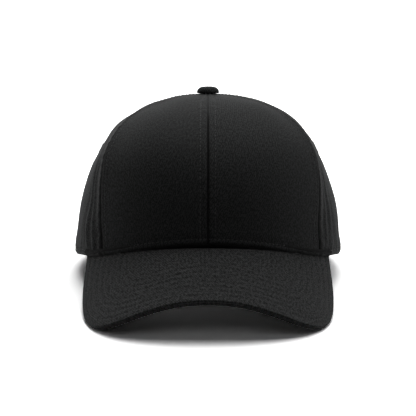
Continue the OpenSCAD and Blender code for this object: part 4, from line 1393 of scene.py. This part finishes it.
@dataclass
class Visor:
    """A bent board between two covers, quilted to it by rows of stitches along its edge."""

    cloth_t: float = 0.5
    tuck: float = 2.2
    rows: int = 8
    first_row: float = 5.0
    spacing: float = 5.7
    board_from: float = 0.75
    board_to: float = 2.65
    quilting: float = 0.15
    groove: float = 0.12
    groove_w: float = 0.75
    cols: int = 260
    root_rows: int = 104
    seams: list[Seam] = field(default_factory=list)

    def relief(self, flat: np.ndarray) -> np.ndarray:
        """Height of the quilted cloth: it swells between stitch rows and dips at each row."""
        inside = FORM.edge_distance(flat)
        beat = (inside - self.first_row) / self.spacing
        rows = smooth((inside - 1.0) / 3.0) * (1.0 - smooth((beat - self.rows + 1.0) / 0.5))
        nearest = np.abs(beat - np.clip(np.round(beat), 0, self.rows - 1)) * self.spacing
        swell = self.quilting * rows * np.sin(np.pi * np.clip(beat, -0.5, self.rows - 0.5)) ** 2
        dip = self.groove * np.exp(-((nearest / self.groove_w) ** 2))
        pull = 0.05 * rows * ripple(flat[..., 0] + 0.3 * flat[..., 1], 6.0, 71)
        return swell - dip + pull + 0.12 * dents(flat[..., 0], flat[..., 1], 50.0, 72)

    def grid(self, depth: float, lip: np.ndarray, up: float) -> tuple[Surface, np.ndarray]:
        """One cover: level rows from the root to the edge, then the rows of its lip.

        Args:
            depth: depth of its outer face below the visor's top.
            lip: (n, 2) rows of the lip, as distance outwards and depth.
            up: 1 for the top cover and -1 for the under cover.

        Returns:
            The outer face, and the inner places a cloth's thickness within.
        """
        turn = np.linspace(0.0, 180.0, self.cols)
        ease = np.linspace(0.0, 1.0, self.root_rows)[:, None, None]
        level = mix(FORM.root(turn, self.tuck)[None], FORM.outline(turn, 0.0)[None], ease)
        height = self.relief(level) * smooth(FORM.edge_distance(level) / 2.0) * smooth(ease[..., 0] * 12.0)
        rim = [FORM.outline(turn, out) for out, _ in lip]
        flat = np.concatenate([level, np.array(rim)])
        rows = len(lip)
        depths = np.concatenate([depth - up * height, np.repeat(lip[:, 1:], self.cols, 1)])
        inner_out = np.concatenate([np.full(self.root_rows, -0.05), lip[:, 0] - 0.9 * self.cloth_t])
        pull_in = FORM.outline(turn, 1.0) - FORM.outline(turn, 0.0)
        inner_flat = flat.copy()
        pulled = (lip[:, 0] - inner_out[-rows:])[:, None, None]
        inner_flat[self.root_rows:] = flat[self.root_rows:] - pull_in * pulled
        inner_depths = depths + up * self.cloth_t * np.concatenate([
            np.ones(self.root_rows), np.linspace(0.75, 0.05, rows)])[:, None]
        # A lip's own pattern position runs on down the edge, so that the weave isn't smeared.
        pattern = flat.copy()
        down = np.abs(lip[:, 1] - depth)[:, None, None] * unit(pull_in)
        pattern[self.root_rows:] += down
        # Painted shade along the crease mark, just in front of the crown's hem at the visor's root.
        crease = hump(np.maximum(FORM.from_root(flat), 0.0), 0.0, 1.2)
        outer = Surface(FORM.bend(flat, depths), pattern, {"crease": crease})
        return outer, FORM.bend(inner_flat, inner_depths)

    def lip(self, top: bool) -> np.ndarray:
        """Rows of a cover's rounded edge, from its face down to the seam along the middle."""
        middle, lap = FORM.visor_t / 2.0, FORM.cover_lap
        turn = np.radians(np.linspace(15.0, 90.0, 6))
        out = lap * np.sin(turn)
        down = lap * (1.0 - np.cos(turn))
        wall = np.linspace(lap + 0.2, middle - 0.35, 4)
        crease = np.array([[lap - 0.1, middle - 0.16], [lap - 0.32, middle - 0.06]])
        rows = np.concatenate([np.stack([out, down], 1), np.stack([np.full(4, lap), wall], 1), crease])
        return rows if top else np.stack([rows[:, 0], FORM.visor_t - rows[:, 1]], 1)

    def stitch_rows(self, depth: float, up: float) -> None:
        """Adds the concentric rows, which stop where they meet the crown."""
        turn = np.linspace(0.0, 180.0, 721)
        rooted = FORM.root(turn, -1.2)
        for row in range(self.rows):
            flat = FORM.outline(turn, -(self.first_row + row * self.spacing))
            limit = np.interp(flat[:, 0], rooted[::-1, 0], rooted[::-1, 1])
            flat = flat[flat[:, 1] > limit]
            line = FORM.bend(flat, depth + up * self.groove)
            above = FORM.bend(flat, depth - up)
            self.seams.append(Seam(line, unit(above - line), 2.9))

    def build(self) -> None:
        """Makes the two covers and the quilting rows, and dresses the board between them."""
        for top, node, name in ((True, "visor_top_cover", "visor_top_cloth"),
                                (False, "visor_under_cover", "visor_under_cloth")):
            up = 1.0 if top else -1.0
            depth = 0.0 if top else FORM.visor_t
            outer, inner = self.grid(depth, self.lip(top), up)
            if not top:
                outer, inner = outer.turned(), inner[:, ::-1]
            piece = cloth(name, outer, inner)
            fit(piece, Finish.TWILL_ON_BOARD, replaces=(node,))
            outer.size()
            outer.area()
            self.seams.clear()
            self.stitch_rows(depth, up)
            stitch(f"{name}_quilting", self.seams)
        self.board()

    def board(self) -> None:
        """The polyethylene board, bent as its covers are."""
        turn = np.linspace(0.0, 180.0, self.cols)
        ease = np.linspace(0.0, 1.0, 30)[:, None, None]
        flat = mix(FORM.root(turn, self.tuck)[None], FORM.outline(turn, -0.9)[None], ease)
        upper = Surface(FORM.bend(flat, np.full(flat.shape[:2], self.board_from)), flat)
        lower = FORM.bend(flat, np.full(flat.shape[:2], self.board_to))
        piece = cloth("visor_board_sheet", upper, lower)
        fit(piece, Finish.POLYETHYLENE, replaces=("visor_board",))


# ------------------------------------------------------------------ button and eyelets


def spin(name: str, profile: np.ndarray, centre: np.ndarray, axis: np.ndarray, steps: int,
         closed: bool, swell: np.ndarray | float = 0.0) -> bpy.types.Object:
    """Turns a profile round an axis.

    Args:
        name: the piece's name.
        profile: (n, 2) distance from the axis and height along it; it runs anticlockwise.
        centre: the axis' origin.
        axis: the axis' direction.
        steps: points round.
        closed: joins the profile's ends, else each end is capped at the axis.
        swell: (steps, n) distance that the points move along the profile's normal.

    Returns:
        The object. Its flat pattern is the run of the profile laid out as a disc.
    """
    turn = -np.arange(steps) * 2.0 * np.pi / steps
    side = unit(np.cross(np.array([0.0, 1.0, 0.0]), axis))
    ahead = np.cross(axis, side)
    along = np.gradient(profile, axis=0)
    out = unit(np.stack([along[:, 1], -along[:, 0]], 1))
    moved = profile[None] + out[None] * np.broadcast_to(swell, (steps, len(profile)))[..., None]
    spokes = np.cos(turn)[:, None] * side + np.sin(turn)[:, None] * ahead
    points = centre + moved[..., :1] * spokes[:, None] + moved[..., 1:] * axis
    run = lengths_along(profile, 0)
    reach = run[-1] - run if not closed else run + profile[0, 0]
    around = np.linspace(0.0, -2.0 * np.pi, steps + 1)
    flat = reach[None, :, None] * np.stack([np.cos(around), np.sin(around)], 1)[:, None]
    return tube(name, points, flat, caps=not closed)


@dataclass
class Button:
    """A steel button shell with twill gathered over it, riveted through the top of the crown."""

    radius: float = 7.55
    height: float = 4.9
    belly: float = 0.19
    shoulder: float = 0.55
    lip_r: float = 4.9
    seat: float = 0.38
    cloth_t: float = 0.45
    gathers: float = 0.13
    steps: int = 144

    def dome(self, inset: float) -> np.ndarray:
        """Half section of the dome from its widest to the top: r cos(a)^shoulder, rise sin(a)."""
        angle = np.radians(np.linspace(0.0, 89.6, 20))
        low = self.height * self.belly
        r = (self.radius - inset) * np.cos(angle) ** self.shoulder
        return np.stack([r, low + (self.height - low - inset) * np.sin(angle)], 1)

    def underside(self, inset: float) -> np.ndarray:
        """The turned-in edge, from its inner rim to just below the dome's widest."""
        angle = np.radians(np.linspace(-90.0, 0.0, 8)[:-1])
        low = self.height * self.belly
        round_r = low - self.seat
        curve = np.stack([self.radius - round_r + (round_r - inset) * np.cos(angle),
                          low + (round_r - inset) * np.sin(angle)], 1)
        flat = np.array([[self.lip_r, self.seat + inset], [5.3, self.seat + inset]])
        return np.concatenate([flat, curve])

    def build(self) -> None:
        """Makes the cloth cover, whose gathers run out from under the button."""
        inner = np.concatenate([self.underside(self.cloth_t), self.dome(self.cloth_t)])
        outer = np.concatenate([self.underside(0.0), self.dome(0.0)])
        profile = np.concatenate([inner[::-1], outer])
        turn = -np.arange(self.steps) * 2.0 * np.pi / self.steps
        pleats = np.abs(np.sin(9.0 * turn + 0.7 * np.sin(2.0 * turn))) - 0.5
        low = 1.0 - smooth((profile[:, 1] - 1.2) / 2.0)
        faces_out = np.arange(len(profile)) >= len(inner)
        swell = self.gathers * pleats[:, None] * low * faces_out
        centre = np.array([0.0, FORM.top_set_back, FORM.height])
        piece = spin("button_cloth", profile, centre, np.array([0.0, 0.0, 1.0]), self.steps, False, swell)
        fit(piece, Finish.TWILL, replaces=("button_cover",))
        for node in ("button_core", "button_washer"):
            dress_node(node, Finish.ZINC)


@dataclass
class Eyelets:
    """Vent holes worked with buttonhole stitches: each ring is thread wound over a cord."""

    hole_r: float = 2.2
    wide_r: float = 4.6
    stitches: int = 40
    ridge: float = 0.11
    bead_points: int = 13

    def profile(self) -> np.ndarray:
        """Section of a ring: a bead on each face of the cloth, joined through the hole."""
        middle, half = (self.hole_r + self.wide_r) / 2.0, (self.wide_r - self.hole_r) / 2.0
        angle = np.radians(np.linspace(0.0, 180.0, self.bead_points))
        top = np.stack([middle + half * np.cos(angle), 0.06 + 0.3 * np.sin(angle) ** 0.8], 1)
        low = np.stack([middle - half * np.cos(angle), -1.4 - 0.42 * np.sin(angle) ** 0.8], 1)
        waist = np.array([[self.wide_r - 0.1, -1.3], [2.95, -1.25], [2.9, -1.0], [2.9, -0.2],
                          [2.95, -0.05], [self.wide_r - 0.1, 0.0]])
        return np.concatenate([top, low, waist])

    def build(self) -> None:
        """Makes the four rings."""
        profile = self.profile()
        steps = self.stitches * 4
        turn = -np.arange(steps) * 2.0 * np.pi / steps
        ridges = np.abs(np.sin(self.stitches * turn / 2.0)) - 0.6
        swell = self.ridge * ridges[:, None] * (np.arange(len(profile)) < 2 * self.bead_points)
        for panel in (Panel.SIDE, Panel.BACK):
            psi, share = FORM.eyelet(panel)
            centre, axis = FORM.point(psi, share), FORM.normal(psi, share)
            for side in Side:
                flip = np.array([1.0 if side is Side.LEFT else -1.0, 1.0, 1.0])
                place = (centre + axis * FORM.swell(side, psi, share)) * flip
                piece = spin(f"eyelet_stitching_{panel.value}_{side.value}", profile, place,
                             axis * flip, steps, True, swell)
                fit(piece, Finish.THREAD, replaces=(f"eyelet_{panel.value}_{side.value}",))


# ------------------------------------------------------------------ lining


@dataclass
class Lining:
    """What is sewn inside the crown: the buckram, the seam tapes and the sweatband."""

    buckram_depth: float = 1.25
    buckram_t: float = 0.6
    tape_depth: float = 2.45
    tape_t: float = 0.5
    tape_half: float = 9.0
    tape_angle: float = 21.0
    tape_end_r: float = 18.3
    band_depth: float = 3.55
    band_back_depth: float = 6.1
    band_foot: float = 1.5
    band_t: float = 1.0
    band_h: float = 32.0
    band_r: float = 94.0
    band_foot_seam: float = 3.2
    band_top_seam: float = 3.4
    foot_clear: float = 2.0
    topstitch: float = 5.4

    def buckram(self) -> None:
        """Stiffens each front panel, from above the sweatband's seam to below the top."""
        share = np.linspace(self.foot_clear, 92.0, 96) / FORM.height
        r = FORM.radius(FORM.front_seam(share) / 2.0, share)
        edge = np.degrees(1.9 / r)
        across = np.linspace(0.0, 1.0, 60)[None]
        for side in Side:
            psi = mix(edge[:, None], FORM.front_seam(share, side)[:, None] - edge[:, None], across)
            level = np.broadcast_to(share[:, None], psi.shape)
            depth = self.buckram_depth - FORM.swell(side, psi, level)
            points = FORM.point(psi, level, depth)
            outer = Surface(points, np.stack([np.radians(psi) * r[:, None], lengths_along(points, 0)], -1))
            inner = FORM.point(psi, level, depth + self.buckram_t)
            if side is Side.RIGHT:
                outer, inner = outer.mirrored(), mirror(inner)
            piece = cloth(f"buckram_sheet_{side.value}", outer, inner, turns=1)
            fit(piece, Finish.BUCKRAM, replaces=(f"buckram_{side.value}",))
            outer.size()
            outer.area()

    def tape(self, name: str, points: np.ndarray, inner: np.ndarray, across: np.ndarray,
             node: str) -> None:
        """Makes one seam tape with a row of stitches along each side.

        Args:
            name: the piece's name.
            points: its face against the crown.
            inner: its face to the head.
            across: (rows, columns) distance from its middle line.
            node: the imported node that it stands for.
        """
        flat = np.stack([across, lengths_along(points, 0)], -1)
        outer = Surface(points, flat)
        normals = outer.normals()
        swell = 0.18 * hump(across, 0.0, 3.0) - 0.12 * hump(np.abs(across), self.topstitch, 0.6)
        swell += 0.04 * ripple(flat[..., 1] + across, 7.0, 31)
        inner = inner - normals * swell[..., None]
        piece = cloth(name, outer, inner, turns=1)
        fit(piece, Finish.TAPE, replaces=(node,))
        outer.size()
        outer.area()
        middle = across[len(across) // 2]
        near = [int(np.abs(middle - place).argmin()) for place in (-self.topstitch, self.topstitch)]
        wide = np.abs(across[:, near[0]]) > 2.6
        seams = [Seam(inner[wide, column], -normals[wide, column], 2.8) for column in near]
        stitch(f"{name}_stitches", seams)

    def places_across(self) -> np.ndarray:
        """Places of a tape's columns, as shares of its half width, close at the stitches."""
        right = np.array([0.0, 0.12, 0.25, 0.38, 0.5, 0.56, 0.6, 0.64, 0.72, 0.85, 0.95, 1.0])
        return np.concatenate([-right[:0:-1], right])

    def short_tapes(self) -> None:
        """Tapes over the four side seams, narrowed where they draw together at the top."""
        share_across = self.places_across()
        for seam, angle, top_angle in (("front", FORM.front_seam, FORM.front_seam_top),
                                       ("rear", FORM.rear_seam, FORM.rear_seam_top)):
            turn = np.radians(top_angle)
            end = self.tape_end_r * np.array([np.sin(turn), -np.cos(turn)]) + [0.0, FORM.top_set_back]
            top = float(FORM.top_share(end, self.tape_depth))
            low = 1.0 - np.sqrt(1.0 - self.foot_clear / FORM.height)
            share = FORM.share_of(np.linspace(low, 1.0 - np.sqrt(1.0 - top), 130))
            for side in Side:
                middle = angle(share, side) if seam == "front" else angle(share)
                r = FORM.radius(middle, share)
                half = np.minimum(self.tape_angle, np.degrees(self.tape_half / r))
                psi = middle[:, None] + half[:, None] * share_across
                level = np.broadcast_to(share[:, None], psi.shape)
                depth = self.tape_depth - FORM.swell(side, psi, level)
                outer = FORM.point(psi, level, depth)
                inner = FORM.point(psi, level, depth + self.tape_t)
                across = np.radians(half * r)[:, None] * share_across
                if side is Side.RIGHT:
                    outer, inner, across = mirror(outer), mirror(inner), -across[:, ::-1]
                node = f"{seam}_seam_tape_{side.value}"
                self.tape(f"{seam}_seam_cotton_tape_{side.value}", outer, inner, across, node)

    def centre_tape(self) -> None:
        """The tape that runs from the front rim over the top to the arch.

        On the walls its rows are level on the crown; near the top they lie across it, each
        point on the surface over its own plan position.
        """
        x = self.places_across() * self.tape_half
        steps = np.linspace(-1.0, 1.0, 281)
        foot = np.where(steps < 0.0, self.foot_clear, FORM.arch_h + FORM.arch_lap + 2.0)
        low = foot / FORM.height
        share = np.minimum(0.99999, FORM.share_of(mix(1.0, 1.0 - np.sqrt(1.0 - low), np.abs(steps))))
        middle = np.where(steps < 0.0, 0.0, 180.0)
        faces = []
        for depth in (self.tape_depth, self.tape_depth + self.tape_t):
            r = FORM.radius(middle, share, depth)
            turn = np.degrees(np.arcsin(np.clip(x[None] / r[:, None], -1.0, 1.0)))
            psi = np.where(steps[:, None] < 0.0, turn, 180.0 - turn)
            wall = FORM.point(psi, share[:, None], depth)
            y = np.where(steps < 0.0, -r, r) + FORM.top_set_back * share**2
            at = np.stack(np.broadcast_arrays(x[None], y[:, None]), -1)
            over = FORM.top_share(at, depth)
            over_psi = np.degrees(np.arctan2(at[..., 0], FORM.top_set_back * over**2 - at[..., 1]))
            roof = FORM.point(over_psi, over, depth)
            faces.append(np.where((share < 0.9)[:, None, None], wall, roof))
        across = np.broadcast_to(x[None], faces[0].shape[:2])
        self.tape("centre_seam_cotton_tape", faces[0], faces[1], across, "center_seam_tape")

    def band_depths(self, psi: np.ndarray, rise: np.ndarray) -> np.ndarray:
        """Depth of the sweatband's back: its foot lies on the panels, and it hangs free above.

        It hangs deeper towards the rear, where the strap and its tab pass behind it.
        """
        free = mix(self.band_depth, self.band_back_depth, smooth((np.abs(psi) - 85.0) / 35.0))
        return mix(self.band_foot, free, smooth((rise - 1.1) / 1.5))

    def sweatband(self) -> None:
        """A padded band of brushed cotton, sewn to the rim and turned up inside."""
        end = float(FORM.back_angle(np.array(FORM.arch_half_w + FORM.arch_lap + 0.7), np.array(0.0)))
        psi = np.linspace(-end, end, 420)[None]
        rows = np.concatenate([np.linspace(0.0, 3.0, 9), np.linspace(3.8, self.band_h - 0.6, 34)])[:, None]
        length = np.radians(psi) * self.band_r
        seam_levels = (self.band_foot_seam, self.band_h - self.band_top_seam)
        wave = 0.35 * ripple(length, 38.0, 51) * smooth((rows - 8.0) / 24.0)
        rise = rows + wave * rows / self.band_h
        depth = self.band_depths(psi, rise) + 0.2 * smooth(rise / 9.0) * dents(length, rise, 30.0, 52)
        depth += FORM.hem_roll(psi, rise)
        flat = np.stack(np.broadcast_arrays(length, rows), -1)
        marks = {"rise": np.broadcast_to(rise, depth.shape)}
        outer = Surface(FORM.point(psi, rise / FORM.height, depth), flat, marks)
        between = (rise - seam_levels[0]) / (seam_levels[1] - seam_levels[0])
        puff = 0.28 * np.sin(np.pi * np.clip(between, 0.0, 1.0)) ** 0.5
        dip = 0.22 * sum(hump(rise, level, 0.8) for level in seam_levels)
        pucker = 0.1 * (np.exp(-np.abs(rise - 4.5) / 3.0) + np.exp(-np.abs(rise - self.band_h + 4.5) / 3.0))
        swell = puff - dip + pucker * ripple(length, 6.0, 53)
        inner = FORM.point(psi, rise / FORM.height, depth + self.band_t + swell)
        piece = cloth("sweatband_cloth", outer, inner)
        fit(piece, Finish.NAP, replaces=("sweatband",))
        outer.size()
        outer.area()
        head_side = Surface(inner, outer.flat, outer.marks)
        seams = []
        for level in seam_levels:
            line, normals = head_side.contour("rise", level)
            seams.append(Seam(line, -normals, 3.0))
        stitch("sweatband_stitches", seams)

    def build(self) -> None:
        """Makes the buckram, the five tapes and the sweatband."""
        self.buckram()
        self.short_tapes()
        self.centre_tape()
        self.sweatband()


# ------------------------------------------------------------------ rear closure


@dataclass
class RearClosure:
    """The bound arch at the back, with the strap, its flip buckle and the tab that holds it."""

    binding_t: float = 0.5
    gap: float = 0.35
    depth: float = 1.5
    strap_from: float = -64.0
    strap_to: float = 60.0
    strap_stitch: float = 2.2
    strap_corner: float = 4.0
    strap_trim: float = 0.3
    binding_stitch: float = 4.2
    tab_half: float = 9.0
    tab_t: float = 0.62
    bar_along: float = 31.7
    bar_out: float = -3.65
    loop_r: float = 1.45
    tab_end: float = 54.3
    fold_end: float = 36.7

    def binding_section(self) -> np.ndarray:
        """Section of the binding as (beyond the edge, depth): a U of tape over the cloth's edge."""
        out, near = -self.gap - self.binding_t, -self.gap
        low, deep = self.depth, self.depth + self.binding_t
        run = np.linspace(0.0, FORM.arch_lap - 0.1, 12)
        tip = np.radians(np.linspace(0.0, 180.0, 5)[1:-1])
        fold = np.radians(np.linspace(0.0, 180.0, 9)[1:-1])
        half = self.binding_t / 2.0
        middle = (near + low) / 2.0

        def leg(top: float, bottom: float) -> np.ndarray:
            """Out along the upper face of one leg, round its tip and back along the lower."""
            groove = 0.1 * hump(run, self.binding_stitch, 0.6)
            over = np.stack([run, top + groove * (1.0 if top < 0.0 else 0.0)], 1)
            tips = np.stack([run[-1] + half * np.sin(tip), (top + bottom) / 2.0 - half * np.cos(tip)], 1)
            back = np.stack([run[::-1], bottom - groove[::-1] * (0.0 if top < 0.0 else 1.0)], 1)
            return np.concatenate([over, tips, back])

        inside = np.stack([-0.35 * np.sin(fold), middle - (middle - near) * np.cos(fold)], 1)
        outside = np.stack([-0.85 * np.sin(fold), middle + (deep - middle) * np.cos(fold)], 1)
        return np.concatenate([leg(out, near), inside, leg(low, deep), outside])

    def binding(self) -> None:
        """Sweeps the section round the arch, and sews it through both legs."""
        section = self.binding_section()
        turn = np.linspace(0.0, 180.0, 241)
        beyond = section[:, :1] * np.ones_like(turn)
        along = np.cumsum(np.concatenate([[0.0], np.linalg.norm(np.diff(
            FORM.arch_point(turn, np.zeros_like(turn), 0.0), axis=0), axis=1)]))
        rough = 0.06 * ripple(along, 5.0, 61) * smooth((beyond - 1.0) / 3.0)
        outside = section[:, 1:] < FORM.panel_t
        depth = section[:, 1:] + np.where(outside, -1.0, 1.0) * np.maximum(rough, 0.0)
        points = FORM.arch_point(turn[None], beyond, depth)
        run = lengths_along(section, 0)
        run = np.append(run, run[-1] + np.linalg.norm(section[0] - section[-1]))
        flat = np.stack(np.broadcast_arrays(run[:, None], along[None]), -1)
        piece = tube("arch_binding_tape", points, flat, caps=True)
        fit(piece, Finish.TAPE, replaces=("arch_binding",))
        seams = []
        inside, outside = -self.gap - self.binding_t + 0.05, self.depth + self.binding_t - 0.05
        for level, away in ((inside, -1.0), (outside, 1.0)):
            line = FORM.arch_point(turn[1:-1], self.binding_stitch, level)
            above = FORM.arch_point(turn[1:-1], self.binding_stitch, level + away)
            seams.append(Seam(line, unit(above - line), 2.6))
        stitch("arch_binding_stitches", seams)

    def strap_half(self, along: np.ndarray, inset: float) -> np.ndarray:
        """Half width of the strap, or of a line inset from its edge, round at the free end."""
        corner_r = self.strap_corner - inset
        corner = np.clip((along - self.strap_to + self.strap_corner) / corner_r, 0.0, 1.0)
        return FORM.strap_w / 2.0 - self.strap_trim - inset - corner_r * (1.0 - np.sqrt(1.0 - corner**2))

    def strap(self) -> None:
        """A stitched band of doubled twill that slides in the buckle; its free end is rounded."""
        along = np.concatenate([np.linspace(self.strap_from, 54.0, 236), 54.0 + 6.0 * np.sin(
            np.radians(np.linspace(5.0, 89.0, 14)))])[None]
        half = self.strap_half(along, 0.0)
        rows = np.sin(np.radians(np.linspace(-90.0, 90.0, 41)))[:, None]
        across = rows * half
        from_edge = half - np.abs(across)
        swell = 0.1 * smooth(from_edge / 1.6) - 0.16 * hump(from_edge, self.strap_stitch, 0.7)
        swell += 0.05 * ripple(along + 0.2 * across, 8.0, 81) * smooth((4.0 - from_edge) / 2.0)
        edge = 0.22 * (1.0 - smooth(from_edge / 1.0))
        flat = np.stack(np.broadcast_arrays(along, across), -1)
        outer = Surface(FORM.strap_point(along, across, swell - edge - 0.1), flat)
        inner = FORM.strap_point(along, across, -FORM.strap_t + 0.1 - swell + edge)
        piece = cloth("strap_cloth", outer, inner)
        fit(piece, Finish.TWILL, Body.STRAP, replaces=("strap",))
        outer.size()
        path = np.linspace(self.strap_from + 1.5, self.strap_to - self.strap_stitch, 260)
        wide = self.strap_half(path, self.strap_stitch)
        loop = np.concatenate([np.stack([path, wide], 1), np.stack([path, -wide], 1)[::-1]])
        seams = []
        for face, away in ((-0.12, 1.0), (-FORM.strap_t + 0.12, -1.0)):
            line = FORM.strap_point(loop[:, 0], loop[:, 1], face)
            seams.append(Seam(line, unit(FORM.strap_point(loop[:, 0], loop[:, 1], face + away) - line), 2.8))
        stitch("strap_stitches", seams, Body.STRAP)

    def tab(self) -> None:
        """One strip of twill folded round the buckle's bar, both ends sewn under the arch's edge."""
        upper, lower = -FORM.strap_t - self.gap - 0.35, -FORM.strap_t - self.gap - 1.05
        turn = np.radians(np.linspace(80.0, 280.0, 22))
        loop = self.loop_r * np.stack([np.cos(turn), np.sin(turn)], 1) + [self.bar_along, self.bar_out]
        ease = smooth(np.linspace(0.0, 1.0, 9)[:-1])
        start = np.array([self.fold_end + 1.5, upper])
        finish = np.array([self.fold_end + 1.5, lower])
        ahead = mix(start[None], loop[:1], ease[:, None])
        ahead[:, 0] = np.linspace(start[0], loop[0, 0], 9)[:-1]
        back = mix(loop[-1:], finish[None], smooth(np.linspace(0.0, 1.0, 9)[1:])[:, None])
        back[:, 0] = np.linspace(loop[-1, 0], finish[0], 9)[1:]
        away = np.linspace(self.tab_end, start[0], 18)[:-1]
        out = np.stack([away, np.full(17, upper)], 1)
        home = np.stack([away[::-1], np.full(17, lower)], 1)
        path = np.concatenate([out, ahead, loop, back, home])
        tangent = unit(np.gradient(path, axis=0))
        normal = np.stack([tangent[:, 1], -tangent[:, 0]], 1)
        across = np.sin(np.radians(np.linspace(-90.0, 90.0, 25)))[:, None] * (self.tab_half - 0.2)
        half = self.tab_t / 2.0 - 0.1 * smooth((np.abs(across) - self.tab_half + 1.2) / 1.0)
        one = path[None] - normal[None] * half[..., None]
        other = path[None] + normal[None] * half[..., None]
        run = lengths_along(path, 0)
        outer = Surface(FORM.strap_point(one[..., 0], across, one[..., 1]),
                        np.stack(np.broadcast_arrays(run[None], across), -1))
        piece = cloth("buckle_tab_cloth", outer, FORM.strap_point(other[..., 0], across, other[..., 1]))
        fit(piece, Finish.TWILL, replaces=("buckle_tab",))
        outer.size()

    def build(self) -> None:
        """Makes the binding, the strap and the tab, and dresses the buckle's metal."""
        self.binding()
        self.strap()
        self.tab()
        dress_node("buckle_frame", Finish.NICKEL)
        dress_node("buckle_lever", Finish.NICKEL)
        dress_node("buckle_pin", Finish.ZINC)


# ------------------------------------------------------------------ studio


@dataclass(frozen=True)
class Lamp:
    """A square white softbox that faces the cap: its place and side in metres, and its watts."""

    name: str
    place: tuple[float, float, float]
    size: float
    power: float

    def hang(self) -> None:
        """Adds the lamp, turned towards the middle of the cap."""
        data = bpy.data.lights.new(self.name, "AREA")
        data.size = self.size
        data.energy = self.power
        lamp = bpy.data.objects.new(self.name, data)
        lamp.location = self.place
        target = Vector((0.0, 0.0, 0.05))
        lamp.rotation_euler = (target - lamp.location).to_track_quat("-Z", "Y").to_euler()
        bpy.context.scene.collection.objects.link(lamp)


@dataclass(frozen=True)
class Studio:
    """A pale table lit from above and behind, with one weak lamp in front."""

    distance: float = 1.5
    elevation: float = 14.5
    lens: float = 195.0
    aim_share: float = 0.4138
    lamps: tuple[Lamp, ...] = (
        Lamp("lamp_above", (0.0, 0.1, 1.5), 1.0, 6.7),
        Lamp("lamp_above_behind", (0.0, 0.7, 1.35), 1.0, 9.9),
        Lamp("lamp_behind", (0.0, 1.3, 0.8), 1.0, 2.2),
        Lamp("lamp_above_left", (0.9, 0.3, 1.2), 0.8, 5.2),
        Lamp("lamp_low_behind", (0.0, 1.8, 0.3), 1.0, 9.0),
        Lamp("lamp_right_behind", (-1.25, 0.8, 0.3), 0.8, 3.4),
        Lamp("lamp_above_front", (0.0, -1.3, 1.2), 0.8, 1.1),
    )
    floor_colour: str = "#8c8c8c"
    floor_white: float = 1.9
    floor_half: float = 6.0
    sky_light: float = 0.004

    def camera(self) -> None:
        """Stands the camera in front, level with its aim across the middle of the cap."""
        low, high = CAD_BOX
        aim = Vector(((low.x + high.x) / 2.0, (low.y + high.y) / 2.0, high.z * self.aim_share))
        up = np.radians(self.elevation)
        data = bpy.data.cameras.new("camera")
        data.lens = self.lens
        data.sensor_width = 36.0
        camera = bpy.data.objects.new("camera", data)
        camera.location = aim + Vector((0.0, -np.cos(up), np.sin(up))) * self.distance
        camera.rotation_euler = (aim - camera.location).to_track_quat("-Z", "Y").to_euler()
        bpy.context.scene.collection.objects.link(camera)
        bpy.context.scene.camera = camera

    def floor(self) -> None:
        """A flat floor whose colour is paler to the camera and in reflections than to the light."""
        half = self.floor_half
        mesh = bpy.data.meshes.new("floor")
        mesh.from_pydata([(-half, -half, 0.0), (half, -half, 0.0), (half, half, 0.0), (-half, half, 0.0)],
                         [], [(0, 1, 2, 3)])
        floor = bpy.data.objects.new("floor", mesh)
        bpy.context.scene.collection.objects.link(floor)
        material, tree = new_tree("pale_paper_floor")
        path = add_node(tree, "ShaderNodeLightPath")
        seen = add_node(tree, "ShaderNodeMath", {"operation": "MAXIMUM"},
                        {0: path.outputs["Is Camera Ray"], 1: path.outputs["Is Glossy Ray"]})
        colour = add_node(tree, "ShaderNodeMix", {"data_type": "RGBA"}, {
            "Factor": seen.outputs[0], 6: linear(self.floor_colour), 7: (self.floor_white,) * 3 + (1.0,),
        })
        shader = add_node(tree, "ShaderNodeBsdfDiffuse", None, {"Color": colour.outputs[2]})
        add_node(tree, "ShaderNodeOutputMaterial", None, {"Surface": shader.outputs["BSDF"]})
        mesh.materials.append(material)

    def world(self) -> None:
        """White to the camera, and a weak even light for the cap."""
        world = bpy.data.worlds.new("studio")
        world.use_nodes = True
        tree = world.node_tree
        tree.nodes.clear()
        path = add_node(tree, "ShaderNodeLightPath")
        strength = add_node(tree, "ShaderNodeMapRange", None, {
            "Value": path.outputs["Is Camera Ray"], "To Min": self.sky_light, "To Max": 1.0,
        })
        sky = add_node(tree, "ShaderNodeBackground", None,
                       {"Color": (1.0, 1.0, 1.0, 1.0), "Strength": strength.outputs["Result"]})
        add_node(tree, "ShaderNodeOutputWorld", None, {"Surface": sky.outputs["Background"]})
        bpy.context.scene.world = world

    def build(self) -> None:
        """Sets up the camera, the lamps, the floor and the world."""
        self.camera()
        for lamp in self.lamps:
            lamp.hang()
        self.floor()
        self.world()
        bpy.context.scene.view_settings.view_transform = "Standard"


# ------------------------------------------------------------------ all together


def main() -> None:
    """Builds the cap piece by piece, then the studio round it."""
    logging.basicConfig(level=logging.INFO, format="%(name)s: %(message)s")
    Crown().build()
    Visor().build()
    Button().build()
    Eyelets().build()
    Lining().build()
    RearClosure().build()
    Studio().build()


if __name__ == "__main__":
    main()
